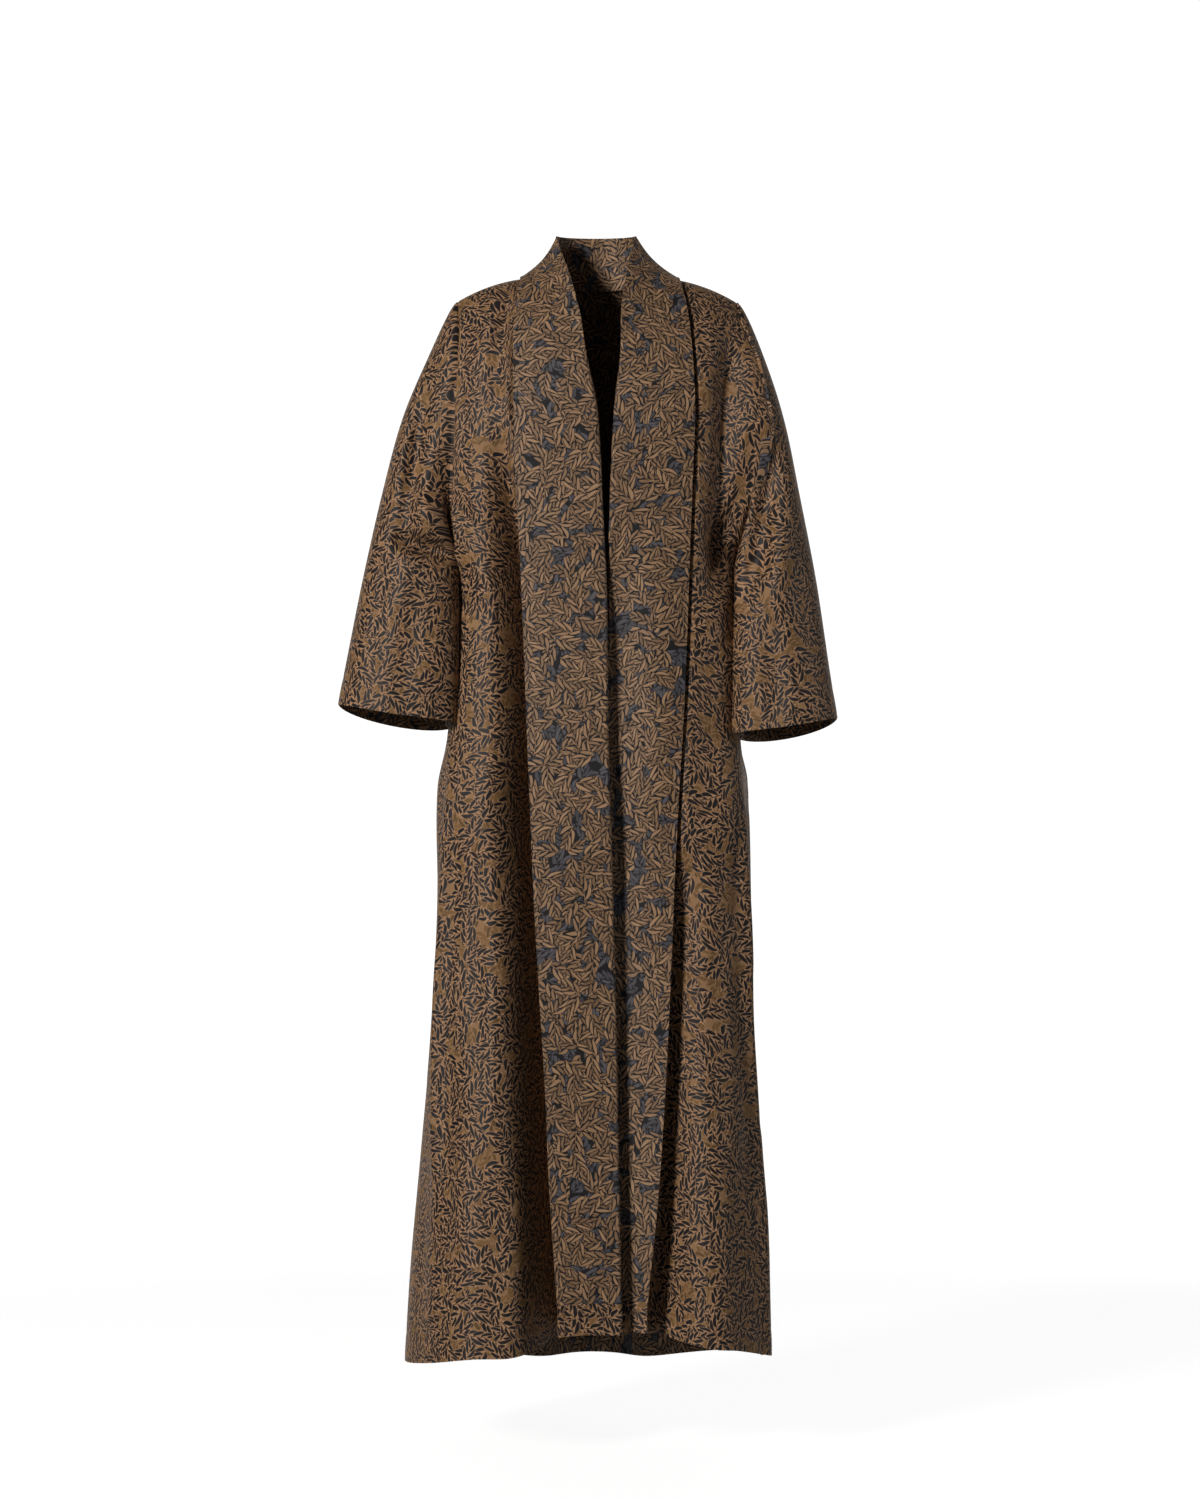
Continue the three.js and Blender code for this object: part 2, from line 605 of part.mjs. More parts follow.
// One sleeve: closed rings from the armhole loop to the cuff. Angle 0 is the outside of the arm, a quarter
// turn is its front, a half turn its inside. The shares are of the length from armhole to cuff.
const SLEEVE_OWN = 0.3; // share over which the armhole's loop turns into the sleeve's own section
const CREASE_RISE = 0.12; // share over which the creases rise
const CLEAR_RISE = 0.08; // share over which the clearance opens
const BESIDE_START = 0.25; // share from which the sleeve may lie before or behind the body's side
const SLEEVE_SQUARE = 0.9; // 1 is an ellipse, less is squarer
function sleeveRows(which) {
  const hand = MIRROR[which];
  const sections = SLEEVES[which];
  const arm = which === "right" ? "armRight" : "armLeft";
  const topZ = shoulderZ(TIP_X);
  const rows = [];
  for (let i = 0; i <= COUNT.sleeveRows; i += 1) {
    const t = i / COUNT.sleeveRows;
    const at = (column) => read(sections, "t", column, t);
    const row = [];
    for (let j = 0; j < COUNT.sleeveRing; j += 1) {
      const angle = (2 * PI * j) / COUNT.sleeveRing;
      const [c, s] = [cos(angle), sin(angle)];
      const x = mix(at("inX"), at("outX"), (1 + c) / 2);
      const z = mix(at("inZ"), at("outZ"), (1 + c) / 2);
      const middle = (at("front") + at("back")) / 2;
      const reach = (at("back") - at("front")) / 2;
      const out = creaseOut(CREASES[which], -s, x, z) * ease(t / CREASE_RISE);
      const free = point(hand * x, middle - (reach + out) * sign(s) * abs(s) ** SLEEVE_SQUARE, z);
      const loopZ = mix(UNDERARM_Z, topZ, (1 + c) / 2);
      const loopX = hand * read(BODY, "z", arm, loopZ);
      const face = s >= 0 ? -1 : 1;
      const loop = bodyPoint(face, face < 0 ? FOLDS[which] : FOLDS.back, loopX, loopZ);
      if (abs(s) < 1e-6) loop.y = 0;
      loop.x += hand * ARM_SEAM;
      const own = clamp01(t / SLEEVE_OWN);
      const p = loop.lerp(free, own * (2 - own));
      const beside = ease((t - BESIDE_START) / BESIDE_START);
      const clear = ease(t / CLEAR_RISE) * mix(ARM_CLEAR, CUFF_CLEAR, t);
      row.push(clearOfBody(p, which, ARM_SEAM + clear, beside));
    }
    rows.push(row);
  }
  return rows;
}

// The collar behind the neck: the lapels' top section carried round from shoulder to shoulder.
const BASE_SHARE = 0.955; // the collar's base stands this share of the neckline's width apart
const BASE_INSIDE = 3.2; // inside the back panel
const BASE_BELOW = 6; // and below its top edge
const BASE_HOLD = 6; // the higher, the closer to the lapels the base leaves their section
const EDGE_SWING = 0.9; // below 1, the free edge turns the corner later than the crest
const COLLAR_STEP = 0.4; // the fall's first step is short by this much
const COLLAR_BULGE = 5; // the fall rounds out by this much
function collarRows(rightTop, leftTop) {
  const rows = [];
  const standCount = STAND_STEPS + 1;
  for (let i = 0; i <= COUNT.collarRows; i += 1) {
    const round = PI * (i / COUNT.collarRows);
    const [c, s] = [cos(round), sin(round)];
    const side = c >= 0 ? rightTop : leftTop;
    const hand = c >= 0 ? -1 : 1;
    const swing = abs(c);
    const fold = side[standCount - 1];
    const neckX = hand * NECK_X * swing * BASE_SHARE;
    const neckY = bodyPoint(1, [], neckX, backNecklineZ(neckX)).y;
    const base = point(
      mix(neckX, side[0].x, swing ** BASE_HOLD),
      mix(neckY - BASE_INSIDE, side[0].y, swing ** BASE_HOLD),
      mix(backNecklineZ(neckX) - BASE_BELOW, side[0].z, swing ** BASE_HOLD),
    );
    const crest = point(fold.x * swing, mix(COLLAR.foldY, fold.y, 1 - s), mix(COLLAR.foldZ, fold.z, 1 - s));
    const end = side[side.length - 1];
    const hem = point(
      end.x * swing ** EDGE_SWING,
      mix(end.y, COLLAR.edgeY, s),
      end.z + COLLAR.edgeRise * s - COLLAR.edgeDrop * s ** 2,
    );
    const row = [base];
    for (let k = 1; k < STAND_STEPS; k += 1) row.push(base.clone().lerp(crest, k / STAND_STEPS));
    row.push(crest);
    const falls = side.length - standCount;
    for (let k = 1; k <= falls; k += 1) {
      const share = (k - COLLAR_STEP) / (falls - COLLAR_STEP);
      const sag = FALL_SAG * sin(PI * share) * swing ** 2;
      const bulge = COLLAR_BULGE * sin(PI * share) * s;
      const moveOut = point(-hand * sag * SAG_SHARE, bulge, -sag * SAG_SHARE);
      row.push(crest.clone().lerp(hem, share).add(moveOut));
    }
    rows.push(swing === 1 ? side.map((p) => p.clone()) : row);
  }
  return rows;
}

const cloth = (colour, roughness) =>
  new THREE.MeshStandardMaterial({ color: colour, roughness, metalness: 0, side: THREE.DoubleSide });
const faceCloth = cloth(0x6b4e30, 0.75);
const reverseCloth = cloth(0x57483c, 0.8);

const abaya = new THREE.Group();

// Front panels, lapels and the hem turned up over the foot of each lapel
const lapelTops = {};
for (const which of ["right", "left"]) {
  const front = frontRows(which);
  const outwards = which === "right" ? (rows) => rows : reversed;
  const lapel = lapelRows(front, which);
  easeSeams(front.panel, true, false);
  const sideColumn = which === "right" ? 0 : front.panel[0].length - 1;
  abaya.add(...panelBands(`front_${which}`, outwards(front.panel), faceCloth, [sideColumn]));

  const lapelGrid = which === "right" ? reversed(lapel) : lapel;
  lapelTops[which] = lapel[lapel.length - 1].map((p) => p.clone());
  const top = lapel.length - 1;
  lapel[top].forEach((p, j) => p.addScaledVector(lapel[top - 1][j].clone().sub(p).normalize(), SEAM));
  abaya.add(sheet(`lapel_${which}`, lapelGrid, reverseCloth));

  const foot = lapelGrid.slice(0, 2);
  const footNormals = gridNormals(lapelGrid, false).slice(0, 2);
  const fallEnd = lapel[0].length - STAND_STEPS - 2;
  const fallOnly = (row) => (which === "right" ? row.slice(0, fallEnd) : row.slice(STAND_STEPS + 2));
  const turned = moved(foot, footNormals, SEAM + CLOTH).map(fallOnly);
  const turnedIn = moved(foot, footNormals, SEAM).map(fallOnly);
  abaya.add(wall(`lapel_hem_${which}`, turned, turnedIn, false, faceCloth));
}

// Back panel with the hem turned up inside it
const back = backRows();
const backNormals = gridNormals(back, false);
easeSeams(back, true, true);
abaya.add(...panelBands("back", back, faceCloth, [0, COUNT.backColumns]));
const hemIn = moved(back.slice(0, 2), backNormals.slice(0, 2), -(CLOTH + 2 * SEAM));
const hemInner = moved(back.slice(0, 2), backNormals.slice(0, 2), -(2 * CLOTH + 2 * SEAM));
const inset = (rows) => rows.map((row) => row.slice(1, -1));
abaya.add(wall("back_hem_turning", inset(hemIn), inset(hemInner), false, faceCloth));

// Collar and sleeves
const collar = collarRows(lapelTops.right, lapelTops.left);
const ends = [
  [0, 1],
  [collar.length - 1, collar.length - 2],
];
for (const [end, next] of ends) {
  collar[end].forEach((p, j) => p.addScaledVector(collar[next][j].clone().sub(p).normalize(), COLLAR_SEAM));
}
abaya.add(sheet("collar_back", collar, reverseCloth));

for (const which of ["right", "left"]) {
  const rows = which === "right" ? reversed(sleeveRows(which)) : sleeveRows(which);
  const inner = moved(rows, gridNormals(rows, true), -CLOTH);
  abaya.add(...banded(`sleeve_${which}`, rows, inner, true, faceCloth, SLEEVE_BANDS, SLEEVE_SEAM));
}

export default abaya;
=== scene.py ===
# %% [markdown]
# # An abaya in leaf jacquard
#
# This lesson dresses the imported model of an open-front abaya. It is a long robe cut from one figured
# cloth. The fronts are folded outwards from neck to hem, so that two wide lapels show the reverse of the
# cloth while the body and sleeves show its face.
#
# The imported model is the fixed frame. It says where every panel is, and Blender only adds the looks. All
# the sizes below are in millimetres, as a dressmaker writes them, and become metres in one place.

# %% Load the frame
import math

import bmesh
import bpy
import numpy as np
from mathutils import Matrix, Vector


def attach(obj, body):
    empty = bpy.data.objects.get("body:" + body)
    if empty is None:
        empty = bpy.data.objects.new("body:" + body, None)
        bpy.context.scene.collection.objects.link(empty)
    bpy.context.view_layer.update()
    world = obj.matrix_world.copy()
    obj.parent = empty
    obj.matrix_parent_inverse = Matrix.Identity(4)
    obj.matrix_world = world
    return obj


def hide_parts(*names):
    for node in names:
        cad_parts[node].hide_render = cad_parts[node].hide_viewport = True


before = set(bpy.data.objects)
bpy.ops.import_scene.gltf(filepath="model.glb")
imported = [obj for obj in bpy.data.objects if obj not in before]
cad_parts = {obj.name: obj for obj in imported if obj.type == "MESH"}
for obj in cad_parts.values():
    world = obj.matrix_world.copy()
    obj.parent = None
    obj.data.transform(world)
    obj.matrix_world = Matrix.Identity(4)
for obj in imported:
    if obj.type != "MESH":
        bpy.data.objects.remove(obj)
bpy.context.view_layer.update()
MM = 0.001
print("panels in the frame:", ", ".join(sorted(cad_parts)))

# %% [markdown]
# ## Small tools for tables and curves
#
# A pattern cutter keeps a short table of sizes and draws smooth curves through them. `columns` turns rows
# of numbers into named columns, and `read` runs a smooth curve through one of them. They could be Bezier
# objects, but a table is easier to check against a tape measure. `tables` makes several of one form.

# %% Tables and curves
def columns(names, rows):
    """A table: a name for each column, and a row for each section or fold."""
    return {name: np.array([row[i] for row in rows], float) for i, name in enumerate(names.split())}


def tables(names, **parts):
    """Tables with the same columns, one for each part."""
    return {part: columns(names, rows) for part, rows in parts.items()}


def each_row(table):
    """The rows of a table, one after another, as named numbers."""
    return [dict(zip(table, row)) for row in zip(*table.values())]


def read(rows, along, column, at):
    """Reads a column at a place along another, on a smooth curve through the rows."""
    x, y = rows[along], rows[column]
    if x[0] > x[-1]:
        x, y = x[::-1], y[::-1]
    at = np.clip(at, x[0], x[-1])
    low = np.concatenate([[0], np.arange(len(x) - 1)]).astype(int)
    high = np.concatenate([np.arange(1, len(x)), [len(x) - 1]]).astype(int)
    slope = (y[high] - y[low]) / (x[high] - x[low])
    i = np.clip(np.searchsorted(x, at, side="right") - 1, 0, len(x) - 2)
    span = x[i + 1] - x[i]
    s = (at - x[i]) / span
    start = (2 * s**3 - 3 * s**2 + 1) * y[i] + (s**3 - 2 * s**2 + s) * slope[i] * span
    return start + (3 * s**2 - 2 * s**3) * y[i + 1] + (s**3 - s**2) * slope[i + 1] * span


def mix(a, b, share):
    return a + (b - a) * share


def ease(value):
    value = np.clip(value, 0, 1)
    return value**2 * (3 - 2 * value)


# %% [markdown]
# ## The worn form
#
# A robe takes its form from the shoulders, chest and hips that fill it, and below them from its own weight.
# A simulation would find such a form, but not the one in the photograph. So the form is written down: the
# half widths and depths of the robe at a few heights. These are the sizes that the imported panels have,
# which keeps every new panel on its solid.

# %% Sizes of the body
CLOTH = 1.5
LAP = 1.1
NECK_X, NECK_Z = 74, -8
TIP_X, TIP_DROP = 185, 32
UNDERARM_Z, SIDE_HEM_Z = -380, -1432
TOP_ROUND, SECTION_POWER = 160, 2.35
SEAM_FADE, SIDE_FADE = 45, 0.4
NAPE_RISE, NECKLINE_DIP = 25, 7
HAND = {"right": -1, "left": 1}

BODY = columns("z right left arm_right arm_left front back", [
    (-20, 192, 192, 185, 185, 88, 82),
    (-60, 199, 205, 182, 189, 92, 88),
    (-100, 203, 222, 181, 202, 96, 94),
    (-150, 204, 236, 181, 213, 102, 101),
    (-195, 204, 243, 181, 219, 106, 106),
    (-240, 203, 240, 181, 217, 109, 110),
    (-300, 198, 224, 182, 206, 112, 112),
    (-350, 192, 206, 186, 197, 115, 113),
    (-380, 188, 193, 188, 193, 116, 114),
    (-450, 187, 190, 187, 190, 119, 117),
    (-565, 188, 186, 188, 186, 124, 122),
    (-620, 192, 188, 192, 188, 127, 126),
    (-680, 206, 200, 206, 200, 131, 130),
    (-830, 208, 205, 208, 205, 139, 140),
    (-1000, 217, 205, 217, 205, 150, 153),
    (-1150, 230, 207, 230, 207, 163, 167),
    (-1300, 244, 215, 244, 215, 176, 181),
    (-1460, 253, 222, 253, 222, 188, 194),
])


def shoulder_z(x):
    """Height of the shoulder line over a place across the body."""
    return NECK_Z - TIP_DROP * (np.maximum(0, np.abs(x) - NECK_X) / (TIP_X - NECK_X)) ** 2


def neck_arc(x):
    return np.sqrt(np.maximum(0, 1 - (x / NECK_X) ** 2))


def neckline_z(x):
    """Height of the back neckline."""
    return shoulder_z(x) - NECKLINE_DIP * neck_arc(x) ** 2


def half_across(x, z):
    """Half the width of the robe at a height, on the side that x is on."""
    return np.where(x < 0, read(BODY, "z", "right", z), read(BODY, "z", "left", z))


def oval(share):
    """How far a squarish oval reaches in depth at a share of its half width, itself as a share."""
    return (1 - share**SECTION_POWER) ** (1 / SECTION_POWER)


def depth_at(face, drop, z):
    """Depth of a section in front (face -1) or behind (face 1), at a drop below the shoulder."""
    round_off = 1 - np.clip(drop / TOP_ROUND, 0, 1)
    return read(BODY, "z", "front" if face < 0 else "back", z) * np.sqrt(np.maximum(0, 1 - round_off**2))


# %% [markdown]
# ## Folds
#
# A fold is a soft ridge or trough that starts somewhere, widens and deepens on its way down, and dies out.
# Sculpting each one by hand would work too. A table of folds keeps them as places and depths instead, so
# each can be compared with the photograph and corrected by a number.

# %% The large folds, and the small ones that the solids leave out
FOLD_NAMES = "z_top z_bottom x_top x_bottom bow width_top width_bottom out_top out_bottom loose"
FOLD_FADE = 0.22
LARGE_FOLDS = tables(FOLD_NAMES, right=[
    (-160, -1500, -128, -50, 4, 9, 25, -60, -112, 1),
    (-330, -1500, -166, -150, 0, 30, 46, 9, 24, 0),
    (-640, -1240, -177, -203, 0, 4, 5, 11, 12, 0),
    (-700, -1500, 30, 30, 0, 44, 58, -5, -24, 0),
    (-60, -420, -186, -183, -3, 10, 9, 4, 15, 0),
    (4, -190, -104, -132, -8, 9, 9, -4, -7, 1),
    (-150, -420, -160, -164, 0, 12, 14, 2, 6, 0),
], left=[
    (-700, -1500, 113, 96, 2, 14, 21, -14, -66, 1),
    (-620, -1500, 150, 160, 0, 26, 40, 6, 22, 0),
    (-230, -1500, 27, 24, 0, 24, 34, -14, -44, 0),
    (-640, -1440, 181, 218, -4, 4, 5, 12, 14, 0),
    (-600, -1470, 200, 240, -4, 7, 11, -12, -28, 0),
    (-600, -1500, 88, 84, 0, 34, 44, -6, -24, 0),
    (-60, -330, 205, 205, 14, 12, 11, 4, 17, 0),
    (-200, -360, 212, 183, 0, 8, 8, -7, -9, 0),
    (-80, -420, 176, 166, 0, 12, 14, -24, -26, 0),
    (-400, -800, 168, 158, 0, 19, 22, 11, 13, 0),
], back=[
    (-420, -1520, -128, -170, 0, 24, 34, 5, 26, 0),
    (-360, -1520, -58, -88, 0, 22, 30, -5, -30, 0),
    (-300, -1520, 2, -8, 0, 26, 36, 5, 26, 0),
    (-380, -1520, 62, 78, 0, 22, 30, -5, -30, 0),
    (-440, -1520, 124, 150, 0, 24, 34, 5, 24, 0),
    (-60, -400, -150, -118, 0, 16, 18, -6, -8, 0),
    (-60, -400, 160, 122, 0, 16, 18, -6, -8, 0),
])


def fold_out(folds, x, z, with_loose=True):
    """How far the folds of a table stand out at places on the body."""
    total = np.zeros_like(x)
    for fold in each_row(folds):
        if fold["loose"] and not with_loose:
            continue
        s = (fold["z_top"] - z) / (fold["z_top"] - fold["z_bottom"])
        inside = (s > 0) & (s < 1)
        s = np.clip(s, 0, 1)
        centre = mix(fold["x_top"], fold["x_bottom"], s) + fold["bow"] * np.sin(np.pi * s)
        width = mix(fold["width_top"], fold["width_bottom"], s)
        fade = ease(s / FOLD_FADE)
        if fold["z_bottom"] > SIDE_HEM_Z:
            fade = fade * ease((1 - s) / FOLD_FADE)
        out = mix(fold["out_top"], fold["out_bottom"], s) * fade
        total += np.where(inside, out * np.exp(-0.5 * ((x - centre) / width) ** 2), 0)
    return total


CREASE_NAMES = "ax az bx bz bow width out"
CREASE_GAIN, CREASE_END, CREASE_FAINT = 1.6, 1.6, 0.45


def crease_out(creases, x, z):
    """Small creases: each runs from a to b, bows sideways and dies out at both ends."""
    total = np.zeros_like(x)
    for crease in each_row(creases):
        run = np.array([crease["bx"] - crease["ax"], crease["bz"] - crease["az"]])
        length = np.hypot(*run)
        along = ((x - crease["ax"]) * run[0] + (z - crease["az"]) * run[1]) / length**2
        away = ((x - crease["ax"]) * run[1] - (z - crease["az"]) * run[0]) / length
        near = np.clip(along, 0, 1)
        away = away - crease["bow"] * np.sin(np.pi * near)
        past = (along - near) * length / (CREASE_END * crease["width"])
        fade = np.exp(-(past**2)) * mix(CREASE_FAINT, 1, np.sin(np.pi * near))
        total += CREASE_GAIN * crease["out"] * fade * np.exp(-0.5 * (away / crease["width"]) ** 2)
    return total


SMALL_FOLDS = tables(CREASE_NAMES, right=[
    (-106, -16, -124, -100, 4, 5, -2.6),
    (-140, -34, -150, -120, -3, 8, 1.6),
    (-170, -70, -176, -190, 3, 6, -1.6),
    (-184, -300, -140, -350, 4, 7, -2.2),
    (-180, -345, -128, -420, 5, 8, 2.0),
    (-184, -430, -132, -470, -4, 7, -1.8),
    (-150, -430, -140, -640, -5, 9, -2.4),
    (-168, -560, -172, -760, 4, 8, 2.2),
    (-118, -640, -112, -860, 3, 8, -2.0),
    (-146, -780, -140, -1050, 6, 11, -3.4),
    (-190, -820, -196, -1080, -4, 9, 2.4),
    (-124, -900, -118, -1180, 4, 10, 3.0),
    (-176, -1040, -186, -1330, 5, 12, -4.0),
    (-132, -1160, -128, -1420, -4, 12, -3.6),
    (-214, -1080, -226, -1420, 3, 10, -3.2),
    (-100, -1230, -98, -1420, 3, 9, 3.2),
], left=[
    (120, -18, 134, -90, -3, 5, -2.0),
    (150, -36, 162, -150, 3, 7, 1.6),
    (176, -90, 196, -190, -3, 7, -2.0),
    (140, -170, 148, -330, 4, 9, -2.2),
    (216, -230, 190, -312, -4, 5, -4.5),
    (226, -196, 196, -300, -5, 6, 3.0),
    (186, -330, 150, -420, 4, 7, -2.4),
    (182, -400, 140, -470, -4, 7, 2.0),
    (178, -470, 138, -540, 4, 8, -2.0),
    (150, -560, 146, -760, 4, 9, -2.2),
    (172, -620, 170, -800, -3, 8, 2.0),
    (130, -760, 124, -960, 3, 8, -2.2),
    (156, -860, 158, -1120, 5, 11, -3.4),
    (182, -930, 190, -1200, -3, 9, -2.6),
    (132, -1060, 134, -1380, 4, 11, 3.4),
    (176, -1180, 184, -1420, 4, 11, -3.6),
    (204, -1140, 212, -1420, 2, 8, 2.6),
], back=[
    (-150, -60, -120, -190, 6, 9, -2.4),
    (150, -60, 118, -200, -6, 9, -2.4),
    (-60, -120, 40, -135, 8, 12, -1.8),
    (-90, -210, 70, -240, -8, 14, 2.0),
    (-176, -300, -110, -400, 5, 8, -2.6),
    (180, -290, 112, -410, -5, 8, -2.8),
    (-176, -420, -120, -520, 5, 9, 2.0),
    (176, -430, 118, -520, -5, 9, 2.0),
    (-104, -480, -118, -900, 6, 11, -2.8),
    (-30, -560, -40, -980, -6, 12, 3.0),
    (40, -500, 44, -900, 5, 11, -2.8),
    (108, -560, 122, -1020, -6, 11, -3.0),
    (-150, -760, -172, -1250, 6, 12, -3.4),
    (170, -800, 188, -1300, -6, 12, -3.4),
    (-120, -1000, -134, -1440, 5, 12, 3.6),
    (-50, -1040, -62, -1440, -5, 13, -3.6),
    (24, -1000, 30, -1440, 5, 12, 3.4),
    (110, -1080, 118, -1440, -5, 12, -3.6),
])
RIPPLES = [
    (0.9, 61, 83, 0.4), (0.7, -47, 118, 1.7), (0.6, 112, -54, 2.9), (0.45, 37, 41, 4.4), (0.3, -26, 31, 5.8),
]


def ripple_out(x, z):
    """The faint unevenness of cloth that hangs free: a few slow waves that never line up."""
    return sum(size * np.sin(x / across + z / down + start) for size, across, down, start in RIPPLES)


print("folds written down:", sum(len(t["z_top"]) for t in LARGE_FOLDS.values()), "large,",
      sum(len(t["ax"]) for t in SMALL_FOLDS.values()), "small")


# %% [markdown]
# ## From the form to points
#
# Each horizontal section of the robe is a squarish oval. `body_points` finds the place on it that lies
# straight behind a point seen from in front, and then moves it out along the oval by its folds. That is
# what makes the front view right by construction, whatever the folds do in depth.

# %% Points of the body
def body_points(face, which, x, z, with_loose=True, fine=True):
    """Points of the worn form in front (face -1) or behind (face 1), in millimetres."""
    half = half_across(x, z)
    drop = (shoulder_z(x) if face < 0 else shoulder_z(x) + NAPE_RISE * neck_arc(x)) - z
    depth = depth_at(face, drop, z)
    across = np.minimum(1, np.abs(x) / half)
    inward = oval(across)
    normal_x = np.sign(x) * across ** (SECTION_POWER - 1) / half
    normal_y = face * inward ** (SECTION_POWER - 1) / np.maximum(depth, 1)
    length = np.hypot(normal_x, normal_y)
    out = fold_out(LARGE_FOLDS[which], x, z, with_loose)
    if fine:
        out = out + crease_out(SMALL_FOLDS[which], x, z) + ripple_out(x, z)
    out = out * ease(inward / SIDE_FADE) * ease(drop / SEAM_FADE)
    return np.stack([x + out * normal_x / length, face * depth * inward + out * normal_y / length, z], -1)


def grid_normals(points, closed=False):
    """Outward directions at every point of a grid, by rows and columns."""
    up = np.gradient(points, axis=0)
    if closed:
        wrapped = np.concatenate([points[:, -2:-1], points, points[:, 1:2]], 1)
        across = (wrapped[:, 2:] - wrapped[:, :-2]) / 2
    else:
        across = np.gradient(points, axis=1)
    normal = np.cross(across, up)
    return normal / np.maximum(np.linalg.norm(normal, axis=-1, keepdims=True), 1e-9)


# %% [markdown]
# ## Rows and columns of a panel
#
# A panel is a grid whose columns run with the grain, from hem to shoulder, and whose rows run across. Near
# a seam the columns come close together, because a seam pulls the cloth into a small groove there. The
# rows follow the hem at the bottom and the shoulder seam at the top.

# %% Rows, columns and seams
SKIRT_ROWS, CHEST_ROWS, MEET_ROUNDS = 150, 90, 14
SEAM_GROOVE, SEAM_REACH = 1.3, 3.2
PUCKER, PUCKER_SHORT, PUCKER_LONG = 0.25, 4.1, 17.0

skirt_shares = np.linspace(0, 1, SKIRT_ROWS + 1)
chest_shares = np.linspace(0, 1, CHEST_ROWS + 1)[1:]


def chest_z(top_z, share):
    """Height of a chest row: the rows come close together on the rounded shoulder."""
    return top_z - (top_z - UNDERARM_Z) * (1 - share) ** 2


def meet(edge_x, top_z, share):
    """Finds the height at which a row meets an edge whose place depends on height."""
    z = np.full_like(share, float(UNDERARM_Z))
    for _ in range(MEET_ROUNDS):
        z = chest_z(top_z(edge_x(z)), share)
    return z


def arc_lengths(points):
    """Distance along each row from its first column, and up each column from the hem."""
    across = np.cumsum(np.linalg.norm(np.diff(points, axis=1, prepend=points[:, :1]), axis=-1), axis=1)
    up = np.cumsum(np.linalg.norm(np.diff(points, axis=0, prepend=points[:1]), axis=-1), axis=0)
    return across, up


def seam_groove(points, normals, *edges):
    """Draws the cloth in along its first or last column or its top row, with a slight pucker."""
    across, up = arc_lengths(points)
    away = {"first": across, "last": across[:, -1:] - across, "top": up[-1:] - up}
    pull = np.zeros(points.shape[:2])
    for edge in edges:
        run = across if edge == "top" else up
        pucker = 1 + PUCKER * np.sin(run / PUCKER_SHORT) * np.sin(run / PUCKER_LONG + 1)
        pull = np.maximum(pull, pucker * np.exp(-((away[edge] / SEAM_REACH) ** 2)))
    return points - normals * (SEAM_GROOVE * pull)[..., None]


HEM_TURN, HEM_LINE, HEM_LINE_REACH = 36, 0.45, 2.2
HEM_ROLL, ROLL_PLACE, ROLL_REACH = 0.5, 0.4, 0.5


def turned_hem(points, normals):
    """Marks a hem: a faint line where its upper edge is caught, and a slight roll at its foot."""
    _, up = arc_lengths(points)
    line = -HEM_LINE * np.exp(-(((up - HEM_TURN) / HEM_LINE_REACH) ** 2))
    roll = HEM_ROLL * np.exp(-((up - ROLL_PLACE * HEM_TURN) / (ROLL_REACH * HEM_TURN)) ** 2)
    return points + normals * (line + roll)[..., None]


# %% [markdown]
# ## Making a mesh from a grid
#
# `bmesh.ops.create_grid` gives a flat sheet with its faces in order. Moving its vertices onto the worn form
# keeps that order, so the cloth stays one clean sheet, and the flat distances go into the UV map. That is
# how the leaves of the cloth keep their size however it folds. A Solidify modifier gives the thickness and
# puts the other side of the cloth on the inside.

# %% Making one cut piece
WALL, MERGE = 1.2, 0.02
NEXT_CUT = np.array([371, 529])
made_pieces = {}


def add_object(name, data):
    """A new object in the scene for a mesh, a light or a camera."""
    made = bpy.data.objects.new(name, data)
    bpy.context.scene.collection.objects.link(made)
    return made


def cut_piece(name, points, uv, closed=False, thickness=WALL, flip=False):
    """A sheet of cloth through a grid of points in millimetres. uv is two grids, in millimetres too, and
    each piece is cut from its own place on the cloth."""
    rows, count = points.shape[0] - 1, points.shape[1] - 1
    start = NEXT_CUT * len(made_pieces)
    bm = bmesh.new()
    uv_layer = bm.loops.layers.uv.new("cloth")
    bmesh.ops.create_grid(bm, x_segments=count, y_segments=rows, size=0.5)
    bm.verts.ensure_lookup_table()
    place = np.array([v.co for v in bm.verts])
    column = np.rint((place[:, 0] + 0.5) * count).astype(int)
    row = np.rint((place[:, 1] + 0.5) * rows).astype(int)
    for vertex, i, j in zip(bm.verts, row, column):
        vertex.co = points[i, j] * MM
    for face in bm.faces:
        for loop in face.loops:
            i, j = row[loop.vert.index], column[loop.vert.index]
            loop[uv_layer].uv = ((uv[0][i, j] + start[0]) * MM, (uv[1][i, j] + start[1]) * MM)
        face.smooth = True
    if closed:
        bmesh.ops.remove_doubles(bm, verts=bm.verts, dist=MERGE * MM)
    if flip:
        bmesh.ops.reverse_faces(bm, faces=bm.faces)
    for edge in bm.edges:
        edge.smooth = not edge.is_boundary
    area = sum(face.calc_area() for face in bm.faces)
    mesh = bpy.data.meshes.new(name)
    bm.to_mesh(mesh)
    bm.free()
    piece = add_object(name, mesh)
    wall = piece.modifiers.new("thickness", "SOLIDIFY")
    wall.thickness = thickness * MM
    wall.offset = -1
    wall.material_offset = 1
    wall.material_offset_rim = 1
    size = [float(np.ptp(grid)) * MM for grid in uv]
    made_pieces[name] = {"piece": piece, "area": area, "size": size}
    cut = " by ".join(f"{length:.3f}" for length in size)
    print(f"{name}: {len(mesh.polygons)} faces, {area:.3f} square metres, cut {cut} m")


